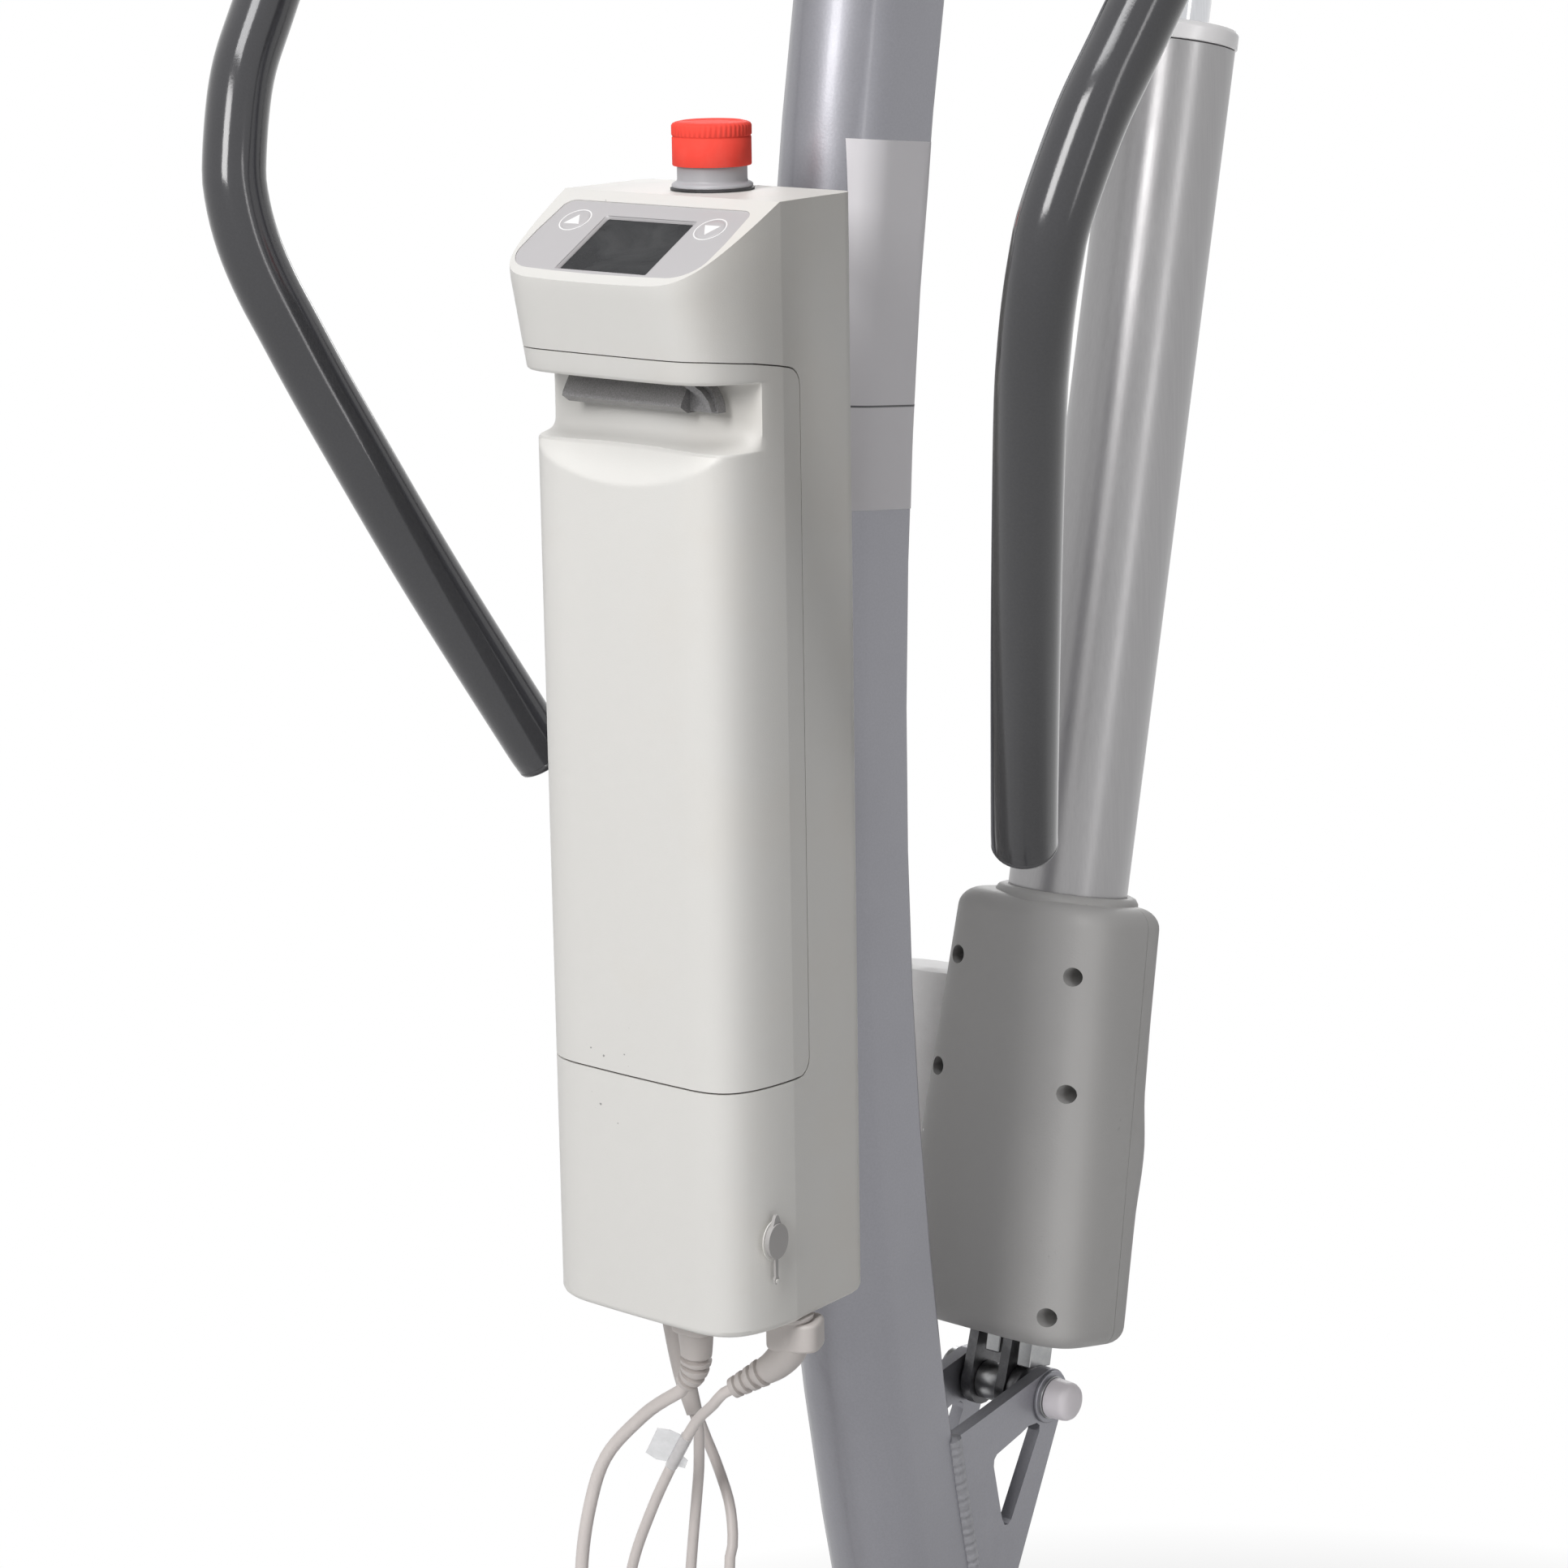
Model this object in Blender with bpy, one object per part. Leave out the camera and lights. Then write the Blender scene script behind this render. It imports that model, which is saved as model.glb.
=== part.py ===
# Patient lift: mast, boom and linear actuator, battery control box and opening base.
# Lengths are millimetres in the lift's own frame, measured from the control box:
# X runs forward from the box's front face, Y to the left of the middle plane and Z up
# from the underside of the box. world() turns such a point into metres over the floor.
import math
import bmesh
import bpy
from mathutils import Matrix, Vector

MM = 0.001
BOX_UP = 700.0
BASE_REAR = -87.5
BASE_FRONT = 1092.5
X_MID = (BASE_REAR + BASE_FRONT) / 2
FIT = 0.3
SIDE = 20
FINE = 32
SMALL = 14

# Mast
MAST_W = 50.8
MAST_D = 55.1
MAST_BEND_X = 123.7
MAST_BEND_Z = 206.6
MAST_BEND_R = 1736.0
MAST_ARC_LOW = -200.0
MAST_ARC_TOP = 540.0
MAST_CORNER = 4.0

# Boom and its pivots
BOOM_X = 198.0
BOOM_Z = 742.0
BOOM_LEN = 860.0
BOOM_W = 50.0
BOOM_H = 60.0
BOOM_PIN_R = 9.0
BOOM_END_R = 30.0
YOKE_T = 7.0
YOKE_LOW = 648.0
MAST_TOP_DROP = 54.0
MAST_SINK = 5.0
SLEEVE_T = 6.0
SLEEVE_H = 90.0
ROD_PIN_ALONG = 261.5
ROD_PIN_DROP = 59.0
EAR_T = 6.0
EAR_R = 19.0
TIP_LUG_W = 20.0
HANGER_HALF = 16.0
HANGER_GAP = 12.2
TIP_LUG_R = 16.0
TIP_PIN_R = 6.0
HANG_DROP = 100.0

# Actuator, along its own axis from the lower pin
ACT_X = 254.0
ACT_Z = -110.0
ACT_LEN = 945.07
HOUSING_LOW = 28.0
HOUSING_TOP = 228.0
HOUSING_HALF_TOP = 42.7
HOUSING_HALF_LOW = 52.5
REAR_DEPTH = 37.0
FRONT_DEPTH = 28.0
MOTOR_Y = 70.0
MOTOR_R = 22.0
MOTOR_LOW = 60.0
MOTOR_TOP = 185.0
SHELL_WALL = 3.0
TUBE_R = 27.4
TUBE_BORE = 22.0
TUBE_TOP = 617.0
CAP_T = 9.0
ROD_R = 14.0
ROD_BORE = 8.0
SPINDLE_R = 6.5
EYE_R = 15.0
EYE_HALF = 14.5
UPPER_PIN_R = 6.0
LOWER_PIN_R = 6.0
EAR_IN = 18.5
EAR_OUT = 25.0
BOSS_R = 13.0
PIN_CAP_R = 9.25

# Push handles
HANDLE_R = 13.3
HANDLE_CROSS_Z = 620.0
HANDLE_CROSS_X = 132.0
CLAMP_T = 6.0

# Control box
BOX_HALF = 55.0
BOX_DEPTH = 78.7
BOX_TOP = 455.0
BOX_SEAM_Z = 104.0
BATTERY_REAR = 46.5
BATTERY_TOP = 360.0
RECESS_TOP = 388.0
RECESS_X = 20.0
HEAD_Z = 395.0
PANEL_X = 28.0
PANEL_Z = 450.8
PANEL_TILT = 33.9
CASE_WALL = 3.2
ESTOP_X = 61.0
ESTOP_R = 15.7
COLLAR_R = 13.9
ESTOP_PRESS = 4.0
BUTTON_R = 6.0
BUTTON_Y = 34.6
BUTTON_S = -11.3

# Base
BEAM_X = 262.0
BEAM_W = 72.0
BEAM_LOW = -600.0
BEAM_TOP = -560.0
LEG_Y = 290.0
LEG_W = 40.0
LEG_LOW = -645.0
LEG_TOP = -605.0
LEG_POST_R = 14.0
LEG_SWING = 10.0
CRANK_R = 110.0
CRANK_PIN_R = 5.0
REAR_WHEEL_R = 50.0
FRONT_WHEEL_R = 37.5
REAR_ARM_Y = 190.0
REAR_Y = 255.0
REAR_SEAT = -590.0
ARM_W = 40.0
REAR_TRAIL = 30.0
FRONT_TRAIL = 25.0
WHEEL_W = 26.0
AXLE_R = 4.0
FORK_T = 3.5
STEM_R = 6.0
PLATE_R = 20.0
PLATE_T = 10.0
DRIVE_HALF = 38.0
DRIVE_LEN = 70.0
BAR_T = 8.0
BAR_W = 24.0
CRANK_T = 10.0
CRANK_LOW = -640.0

# The actuator's length, pin to pin, sets how far the boom is raised and its own lean
ear_reach = math.hypot(ROD_PIN_ALONG, ROD_PIN_DROP)
pin_span = math.hypot(BOOM_X - ACT_X, BOOM_Z - ACT_Z)
pin_bend = math.acos((ear_reach ** 2 + pin_span ** 2 - ACT_LEN ** 2) / (2 * ear_reach * pin_span))
ear_angle = pin_bend + math.atan2(ACT_Z - BOOM_Z, ACT_X - BOOM_X)
BOOM_ANGLE = math.degrees(ear_angle + math.atan2(ROD_PIN_DROP, ROD_PIN_ALONG))
ACT_LEAN = math.degrees(math.atan2(BOOM_X + ear_reach * math.cos(ear_angle) - ACT_X,
                                   BOOM_Z + ear_reach * math.sin(ear_angle) - ACT_Z))

EX = Vector((1, 0, 0))
EY = Vector((0, 1, 0))
EZ = Vector((0, 0, 1))

for item in list(bpy.data.objects):
    bpy.data.objects.remove(item, do_unlink=True)


def world(p):
    return Vector(((p[0] - X_MID) * MM, p[1] * MM, (p[2] + BOX_UP) * MM))


def material(name, color, rough, metal=0.0, alpha=1.0):
    mat = bpy.data.materials.get(name)
    if mat is None:
        mat = bpy.data.materials.new(name)
        mat.use_nodes = True
        shader = mat.node_tree.nodes["Principled BSDF"]
        shader.inputs["Base Color"].default_value = (*color, 1.0)
        shader.inputs["Roughness"].default_value = rough
        shader.inputs["Metallic"].default_value = metal
        mat.diffuse_color = (*color, alpha)
    return mat


def solid(verts, faces, name="piece"):
    mesh = bpy.data.meshes.new(name)
    mesh.from_pydata([world(v) for v in verts], [], faces)
    tidy = bmesh.new()
    tidy.from_mesh(mesh)
    bmesh.ops.recalc_face_normals(tidy, faces=tidy.faces)
    tidy.to_mesh(mesh)
    tidy.free()
    thing = bpy.data.objects.new(name, mesh)
    bpy.context.collection.objects.link(thing)
    return thing


def loft(rings):
    count = len(rings[0])
    verts = [p for ring in rings for p in ring]
    faces = [list(range(count))[::-1]]
    for i in range(len(rings) - 1):
        for j in range(count):
            k = (j + 1) % count
            faces.append([i * count + j, i * count + k, (i + 1) * count + k, (i + 1) * count + j])
    last = (len(rings) - 1) * count
    faces.append([last + j for j in range(count)])
    return solid(verts, faces)


def prism(outline, axis, low, high):
    def lift(p, h):
        if axis == "X":
            return Vector((h, p[0], p[1]))
        if axis == "Y":
            return Vector((p[0], h, p[1]))
        return Vector((p[0], p[1], h))
    return loft([[lift(p, low) for p in outline], [lift(p, high) for p in outline]])


def block(x0, x1, y0, y1, z0, z1):
    return prism([(x0, y0), (x1, y0), (x1, y1), (x0, y1)], "Z", z0, z1)


def circle(centre, radius, count, phase=0.0):
    step = 2 * math.pi / count
    return [(centre[0] + radius * math.cos(phase + step * i),
             centre[1] + radius * math.sin(phase + step * i)) for i in range(count)]


def arc(centre, radius, start, stop, count):
    points = []
    for i in range(count + 1):
        a = math.radians(start + (stop - start) * i / count)
        points.append((centre[0] + radius * math.cos(a), centre[1] + radius * math.sin(a)))
    return points


def rounded(x0, x1, y0, y1, radius, count=3):
    points = []
    corners = ((x1, y1, 0), (x0, y1, 90), (x0, y0, 180), (x1, y0, 270))
    for x, y, start in corners:
        cx = x - radius if x == x1 else x + radius
        cy = y - radius if y == y1 else y + radius
        points += arc((cx, cy), radius, start, start + 90, count)
    return points


def across(direction):
    direction = Vector(direction).normalized()
    side = direction.cross(EY)
    if side.length < 0.2:
        side = direction.cross(EX)
    side.normalize()
    return side, direction.cross(side)


def turned(profile, base, axis, count=SIDE, phase=0.0):
    base = Vector(base)
    axis = Vector(axis).normalized()
    side, other = across(axis)
    rings = []
    for radius, height in profile:
        ring = []
        for i in range(count):
            a = phase + 2 * math.pi * i / count
            ring.append(base + axis * height + (side * math.cos(a) + other * math.sin(a)) * radius)
        rings.append(ring)
    return loft(rings)


def tubular(loop, base, axis, count=SIDE, phase=0.0):
    base = Vector(base)
    axis = Vector(axis).normalized()
    side, other = across(axis)
    size = len(loop)
    verts = []
    faces = []
    for i in range(count):
        a = phase + 2 * math.pi * i / count
        out = side * math.cos(a) + other * math.sin(a)
        verts += [base + axis * height + out * radius for radius, height in loop]
        n = (i + 1) % count
        for j in range(size):
            k = (j + 1) % size
            faces.append([i * size + j, n * size + j, n * size + k, i * size + k])
    return solid(verts, faces)


def rod(start, end, radius, count=SIDE, phase=0.0):
    start = Vector(start)
    end = Vector(end)
    length = (end - start).length
    return turned([(radius, 0), (radius, length)], start, end - start, count, phase)


def swept(points, radius, count):
    points = [Vector(p) for p in points]
    tangents = []
    for i in range(len(points)):
        back = points[max(i - 1, 0)]
        ahead = points[min(i + 1, len(points) - 1)]
        tangents.append((ahead - back).normalized())
    side, _ = across(tangents[0])
    rings = []
    for i, point in enumerate(points):
        side = (side - tangents[i] * side.dot(tangents[i])).normalized()
        other = tangents[i].cross(side)
        r = radius[i] if isinstance(radius, list) else radius
        rings.append([point + (side * math.cos(2 * math.pi * j / count)
                               + other * math.sin(2 * math.pi * j / count)) * r
                      for j in range(count)])
    return loft(rings)


def combine(target, tools, operation):
    for tool in tools:
        step = target.modifiers.new("step", "BOOLEAN")
        step.operation = operation
        step.solver = "EXACT"
        step.object = tool
    graph = bpy.context.evaluated_depsgraph_get()
    done = bpy.data.meshes.new_from_object(target.evaluated_get(graph))
    target.modifiers.clear()
    old = target.data
    target.data = done
    bpy.data.meshes.remove(old)
    for tool in tools:
        bpy.data.objects.remove(tool, do_unlink=True)
    return target


def join(target, *tools):
    return combine(target, tools, "UNION")


def cut(target, *tools):
    return combine(target, tools, "DIFFERENCE")


def keep(target, *tools):
    return combine(target, tools, "INTERSECT")


def finish(thing, name, mat, pivot=None):
    thing.name = name
    thing.data.name = name
    thing.data.materials.clear()
    thing.data.materials.append(mat)
    for face in thing.data.polygons:
        face.material_index = 0
    if pivot is not None:
        shift = world(pivot)
        thing.data.transform(Matrix.Translation(-shift))
        thing.location = shift
    return thing


def mast_x(z):
    dz = z - MAST_BEND_Z
    held = min(max(dz, MAST_ARC_LOW - MAST_BEND_Z), MAST_ARC_TOP - MAST_BEND_Z)
    root = math.sqrt(MAST_BEND_R ** 2 - held ** 2)
    return MAST_BEND_X + MAST_BEND_R - root + (dz - held) * held / root


def mast_rear(z):
    return mast_x(z) - MAST_W / 2


def mast_front(z):
    return mast_x(z) + MAST_D - MAST_W / 2


def mast_ring(z, grow):
    half = MAST_W / 2 + grow
    front = mast_front(z) + grow
    points = arc((mast_x(z), 0), half, 90, 270, 12)
    points += arc((front - MAST_CORNER, MAST_CORNER - half), MAST_CORNER, 270, 360, 2)
    points += arc((front - MAST_CORNER, half - MAST_CORNER), MAST_CORNER, 0, 90, 2)
    return [Vector((x, y, z)) for x, y in points]


def mast_solid(low, top, grow=0.0):
    inner = [MAST_ARC_LOW + i * (MAST_ARC_TOP - MAST_ARC_LOW) / 12 for i in range(13)]
    heights = [low] + [z for z in inner if low + 5 < z < top - 5] + [top]
    return loft([mast_ring(z, grow) for z in heights])


def smooth(points, step):
    points = [Vector(p) for p in points]
    ends = [points[0] * 2 - points[1]] + points + [points[-1] * 2 - points[-2]]
    fine = []
    for i in range(1, len(ends) - 2):
        a, b, c, d = ends[i - 1:i + 3]
        for j in range(24):
            t = j / 24
            fine.append(0.5 * (b * 2 + (c - a) * t + (a * 2 - b * 5 + c * 4 - d) * t * t
                               + (b * 3 - a - c * 3 + d) * t ** 3))
    fine.append(points[-1])
    total = sum((fine[i + 1] - fine[i]).length for i in range(len(fine) - 1))
    count = max(2, round(total / step))
    result = [fine[0]]
    walked = 0.0
    target = total / count
    for i in range(len(fine) - 1):
        length = (fine[i + 1] - fine[i]).length
        while length > 0 and walked + length >= target - 1e-6 and len(result) < count:
            result.append(fine[i].lerp(fine[i + 1], (target - walked) / length))
            target += total / count
        walked += length
    result.append(fine[-1])
    return result


silver = material("silver_coat", (0.52, 0.52, 0.55), 0.38, 0.55)
zinc = material("zinc", (0.62, 0.62, 0.63), 0.32, 1.0)
dark_steel = material("dark_steel", (0.12, 0.12, 0.13), 0.4, 0.9)
black = material("black_plastic", (0.03, 0.03, 0.033), 0.45)
grey = material("grey_plastic", (0.26, 0.26, 0.255), 0.5)
white = material("white_plastic", (0.75, 0.73, 0.71), 0.48)
tyre = material("tyre", (0.09, 0.09, 0.095), 0.6)
rubber = material("rubber", (0.05, 0.05, 0.055), 0.7)

MAST_TOP = BOOM_Z - MAST_TOP_DROP
MAST_FOOT = BEAM_TOP - MAST_SINK
finish(mast_solid(MAST_FOOT + FIT, MAST_TOP), "mast", silver)

# Base frame: beam, mast sleeve, rear arms and leg posts
beam_half = LEG_Y + 24.0
beam = prism(rounded(BEAM_X - BEAM_W / 2, BEAM_X + BEAM_W / 2, BEAM_LOW, BEAM_TOP, 5.0, 2),
             "Y", -beam_half, beam_half)
extra = [mast_solid(BEAM_TOP - 8.0, BEAM_TOP + SLEEVE_H, SLEEVE_T)]
rear_x = BASE_REAR + REAR_TRAIL + REAR_WHEEL_R
for sign in (1, -1):
    a = Vector((BEAM_X, sign * REAR_ARM_Y, 0))
    b = Vector((rear_x, sign * REAR_Y, 0))
    side = (b - a).normalized().cross(EZ) * ARM_W / 2
    outline = [(p.x, p.y) for p in (a + side, b + side, b - side, a - side)]
    extra.append(prism(outline, "Z", REAR_SEAT + 2.0, BEAM_TOP - 2.0))
    extra.append(rod((rear_x, sign * REAR_Y, REAR_SEAT), (rear_x, sign * REAR_Y, BEAM_TOP + 2.0), 26.0))
    post = [(22.0, 0.0), (22.0, BEAM_LOW + 10.0 - LEG_TOP - FIT)]
    post += [(LEG_POST_R, post[1][1]), (LEG_POST_R, BEAM_LOW + 10.0 - LEG_LOW + FIT)]
    post += [(19.0, post[3][1]), (19.0, post[3][1] + 6.0)]
    extra.append(turned(post, (BEAM_X, sign * LEG_Y, BEAM_LOW + 10.0), -EZ))
base = join(beam, *extra)
holes = [mast_solid(MAST_FOOT, BEAM_TOP + SLEEVE_H + 20.0, FIT)]
for sign in (1, -1):
    holes.append(rod((rear_x, sign * REAR_Y, REAR_SEAT - 5.0),
                     (rear_x, sign * REAR_Y, REAR_SEAT + 22.0), STEM_R + FIT, SMALL))
finish(cut(base, *holes), "base_frame", silver)

# Legs, each with its crank and the plate that carries its front caster
front_x = BASE_FRONT - PLATE_R
leg_end = front_x - FRONT_TRAIL - FRONT_WHEEL_R - 4.0
half_swing = math.radians(LEG_SWING / 2)
crank_dx = CRANK_R * math.sin(half_swing)
crank_dy = CRANK_R * math.cos(half_swing)
for sign, name in ((1, "left_leg"), (-1, "right_leg")):
    y = sign * LEG_Y
    leg = prism(rounded(y - LEG_W / 2, y + LEG_W / 2, LEG_LOW, LEG_TOP, 4.0, 2), "X",
                BEAM_X - 2.0, leg_end)
    hub = rod((BEAM_X, y, LEG_LOW), (BEAM_X, y, LEG_TOP), 26.0)
    outline = [(front_x, y - sign * PLATE_R), (leg_end - 70.0, y - sign * (LEG_W / 2 - 3.0)),
               (leg_end - 70.0, y + sign * (LEG_W / 2 - 3.0)), (front_x, y + sign * PLATE_R)]
    top = LEG_TOP + 1.0
    plate = prism(outline, "Z", top - PLATE_T, top)
    nose = rod((front_x, y, top - PLATE_T), (front_x, y, top), PLATE_R)
    tip = Vector((BEAM_X - crank_dx, y - sign * crank_dy, CRANK_LOW))
    root = Vector((BEAM_X, y, CRANK_LOW))
    side = (tip - root).normalized().cross(EZ) * 12.0
    outline = [(p.x, p.y) for p in (root + side, tip + side, tip - side, root - side)]
    crank = prism(outline, "Z", CRANK_LOW, CRANK_LOW + CRANK_T)
    eye = rod(tip, tip + EZ * CRANK_T, 12.0)
    pin = rod(tip + EZ * 3.0, tip + EZ * (CRANK_T + FIT + BAR_T + 2.0), CRANK_PIN_R, SMALL)
    leg = join(leg, hub, plate, nose, crank, eye, pin)
    post_hole = rod((BEAM_X, y, LEG_LOW - 5.0), (BEAM_X, y, LEG_TOP + 5.0), LEG_POST_R + FIT)
    stem_hole = rod((front_x, y, top - PLATE_T - 5.0), (front_x, y, top + 5.0), STEM_R + FIT, SMALL)
    finish(cut(leg, post_hole, stem_hole), name, silver, (BEAM_X, y, LEG_LOW))

# Leg drive: a box behind the beam whose bar pushes both cranks
bar_low = CRANK_LOW + CRANK_T + FIT
bar_x = BEAM_X - crank_dx
bar_half = LEG_Y - crank_dy + 14.0
drive_front = BEAM_X - BEAM_W / 2 - FIT
tongue_x = drive_front - 36.0
bar = prism(rounded(bar_x - BAR_W / 2, bar_x + BAR_W / 2, -bar_half, bar_half, 6.0, 2), "Z",
            bar_low, bar_low + BAR_T)
bar = join(bar, block(tongue_x, bar_x, -12.0, 12.0, bar_low + 0.5, bar_low + BAR_T - 0.5))
slots = []
for sign in (1, -1):
    y = sign * (LEG_Y - crank_dy)
    gap = CRANK_PIN_R + 0.4
    slots.append(block(bar_x - gap, bar_x + gap, y - gap - 1.2, y + gap + 1.2,
                       bar_low - 5.0, bar_low + BAR_T + 5.0))
finish(cut(bar, *slots), "leg_drive_bar", zinc, (bar_x, 0, bar_low))
drive_top = BEAM_LOW + 25.0
drive = prism(rounded(-DRIVE_HALF, DRIVE_HALF, LEG_LOW, drive_top, 6.0, 2), "X",
              drive_front - DRIVE_LEN, drive_front)
pocket = block(tongue_x - 3.0, drive_front + 5.0, -12.0 - FIT, 12.0 + FIT,
               bar_low + 0.5 - FIT, bar_low + BAR_T - 0.5 + FIT)
gland = (drive_front - DRIVE_LEN / 2, 22.0, drive_top)
spigot = rod((gland[0], gland[1], gland[2] - 4.0), (gland[0], gland[1], gland[2] + 8.0), 6.0, SMALL)
finish(cut(join(drive, spigot), pocket), "leg_drive_housing", black)


def caster(name, x, y, seat, wheel_r, trail, stem_top, brake):
    axle_z = -BOX_UP + wheel_r * math.cos(math.pi / 24)
    crown_top = seat - FIT
    crown_low = axle_z + wheel_r + 2.5
    axle_x = x - trail
    outer = WHEEL_W / 2 + 0.5 + FORK_T
    inner = WHEEL_W / 2 + 0.5
    crown = block(x - 19.0, x + 17.0, -outer + y + 0.4, outer + y - 0.4, crown_low, crown_top)
    parts = []
    for sign in (1, -1):
        outline = [(x + 15.0, crown_top - 0.4), (x - 26.0, crown_top - 0.4)]
        outline += arc((axle_x, axle_z), 9.0, 170, 350, 6)
        parts.append(prism(outline, "Y", y + sign * inner, y + sign * outer))
    parts.append(rod((axle_x, y - inner - 1.0, axle_z), (axle_x, y + inner + 1.0, axle_z),
                     AXLE_R, SMALL))
    parts.append(rod((x, y, crown_low + 1.0), (x, y, stem_top), STEM_R, SMALL))
    finish(join(crown, *parts), name + "_fork", zinc, (x, y, seat))
    w = WHEEL_W / 2
    bore = AXLE_R + FIT
    loop = [(bore, -w), (wheel_r * 0.42, -w), (wheel_r * 0.5, -w + 4.0), (wheel_r * 0.78, -w + 4.0),
            (wheel_r * 0.82, -w), (wheel_r - 2.0, -w), (wheel_r, -w + 2.5), (wheel_r, w - 2.5),
            (wheel_r - 2.0, w), (wheel_r * 0.82, w), (wheel_r * 0.78, w - 4.0),
            (wheel_r * 0.5, w - 4.0), (wheel_r * 0.42, w), (bore, w)]
    wheel = tubular(loop, (axle_x, y, axle_z), EY, 24, math.pi / 24)
    finish(wheel, name + "_wheel", tyre, (axle_x, y, axle_z))
    if brake:
        hinge = (x - 22.0, y, crown_top - 3.4)
        plate = prism(rounded(x - 66.0, x - 22.0, y - 11.0, y + 11.0, 5.0, 2), "Z",
                      hinge[2] - 2.2, hinge[2] + 2.2)
        bar = rod((hinge[0], y - inner + FIT, hinge[2]), (hinge[0], y + inner - FIT, hinge[2]),
                  2.8, SMALL)
        finish(join(plate, bar), name + "_brake", black, hinge)


for sign, side in ((1, "left"), (-1, "right")):
    caster("rear_" + side, rear_x, sign * REAR_Y, REAR_SEAT, REAR_WHEEL_R, REAR_TRAIL,
           REAR_SEAT + 20.0, True)
    caster("front_" + side, front_x, sign * LEG_Y, LEG_TOP + 1.0 - PLATE_T, FRONT_WHEEL_R,
           FRONT_TRAIL, LEG_TOP + 0.5, False)


def slab(origin, a, b, c, outline, low, high):
    origin = Vector(origin)
    rings = []
    for h in (low, high):
        rings.append([origin + a * p[0] + b * p[1] + c * h for p in outline])
    return loft(rings)


# Yoke at the mast top and the pin that the boom turns on
plate_out = MAST_W / 2 + FIT + YOKE_T
head_r = BOOM_PIN_R + 15.0
outline = [(mast_rear(YOKE_LOW) - 7.0, YOKE_LOW), (mast_front(YOKE_LOW) + 2.0, YOKE_LOW)]
outline += arc((BOOM_X, BOOM_Z), head_r, -10, 190, 10)
outline += [(mast_rear(MAST_TOP) - 7.0, MAST_TOP - 6.0)]
yoke = prism(outline, "Y", -plate_out, plate_out)
inside = plate_out - YOKE_T
throat = block(BOOM_X - 60.0, BOOM_X + 60.0, -inside, inside, MAST_TOP - 12.0, BOOM_Z + 60.0)
passage = mast_solid(YOKE_LOW - 20.0, MAST_TOP + 10.0, FIT)
front_gap = block(mast_x(YOKE_LOW), BOOM_X + 60.0, -inside, inside, YOKE_LOW - 20.0, BOOM_Z + 60.0)
pin_hole = rod((BOOM_X, -60, BOOM_Z), (BOOM_X, 60, BOOM_Z), BOOM_PIN_R + FIT)
finish(cut(yoke, passage, throat, front_gap, pin_hole), "boom_yoke", silver)
head = plate_out + FIT
pin = [(BOOM_PIN_R + 4.0, -head - 5.0), (BOOM_PIN_R + 4.0, -head), (BOOM_PIN_R, -head),
       (BOOM_PIN_R, head), (BOOM_PIN_R + 4.0, head), (BOOM_PIN_R + 4.0, head + 5.0)]
finish(turned(pin, (BOOM_X, 0, BOOM_Z), EY), "boom_pin", zinc)

# Boom, in its own frame: along the tube, across it and up from its centreline
lift = math.radians(BOOM_ANGLE)
along = Vector((math.cos(lift), 0, math.sin(lift)))
above = Vector((-math.sin(lift), 0, math.cos(lift)))
pivot = Vector((BOOM_X, 0, BOOM_Z))
tip = pivot + along * BOOM_LEN
# The tube ends short of the tip, so that the hanger hangs clear of it
tip_bare = (HANGER_HALF + BOOM_H / 2 * math.sin(lift) + HANGER_GAP) / math.cos(lift)
section = rounded(-BOOM_W / 2, BOOM_W / 2, -BOOM_H / 2, BOOM_H / 2, 8.0, 3)
rings = []
for s in (0.0, BOOM_LEN - tip_bare):
    rings.append([pivot + along * s + EY * p[0] + above * p[1] for p in section])
boom = loft(rings)
parts = [rod(pivot - EY * (BOOM_W / 2 - 1.0), pivot + EY * (BOOM_W / 2 - 1.0), BOOM_END_R - 0.5)]
lug = [(BOOM_LEN - tip_bare - 30.0, -TIP_LUG_R), (BOOM_LEN, -TIP_LUG_R)]
lug += arc((BOOM_LEN, 0), TIP_LUG_R, -75, 75, 8)
lug += [(BOOM_LEN, TIP_LUG_R), (BOOM_LEN - tip_bare - 30.0, TIP_LUG_R)]
parts.append(slab(pivot, along, above, EY, lug, -TIP_LUG_W / 2, TIP_LUG_W / 2))
ear_in = EYE_HALF + 0.9
for sign in (1, -1):
    ear = [(ROD_PIN_ALONG + EAR_R + 12.0, 3.0 - BOOM_H / 2)]
    ear += [(ROD_PIN_ALONG - EAR_R - 12.0, 3.0 - BOOM_H / 2)]
    ear += arc((ROD_PIN_ALONG, -ROD_PIN_DROP), EAR_R, 190, 350, 10)
    parts.append(slab(pivot, along, above, EY * sign, ear, ear_in, ear_in + EAR_T))
    spot = pivot + along * ROD_PIN_ALONG - above * ROD_PIN_DROP
    parts.append(rod(spot + EY * sign * (ear_in + 2.0), spot + EY * sign * (ear_in + EAR_T + 6.0),
                     10.0, 6))
boom = join(boom, *parts)
holes = [rod(pivot - EY * 60, pivot + EY * 60, BOOM_PIN_R + FIT),
         rod(tip - EY * 60, tip + EY * 60, TIP_PIN_R + FIT)]
finish(cut(boom, *holes), "boom", silver, pivot)

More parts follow.
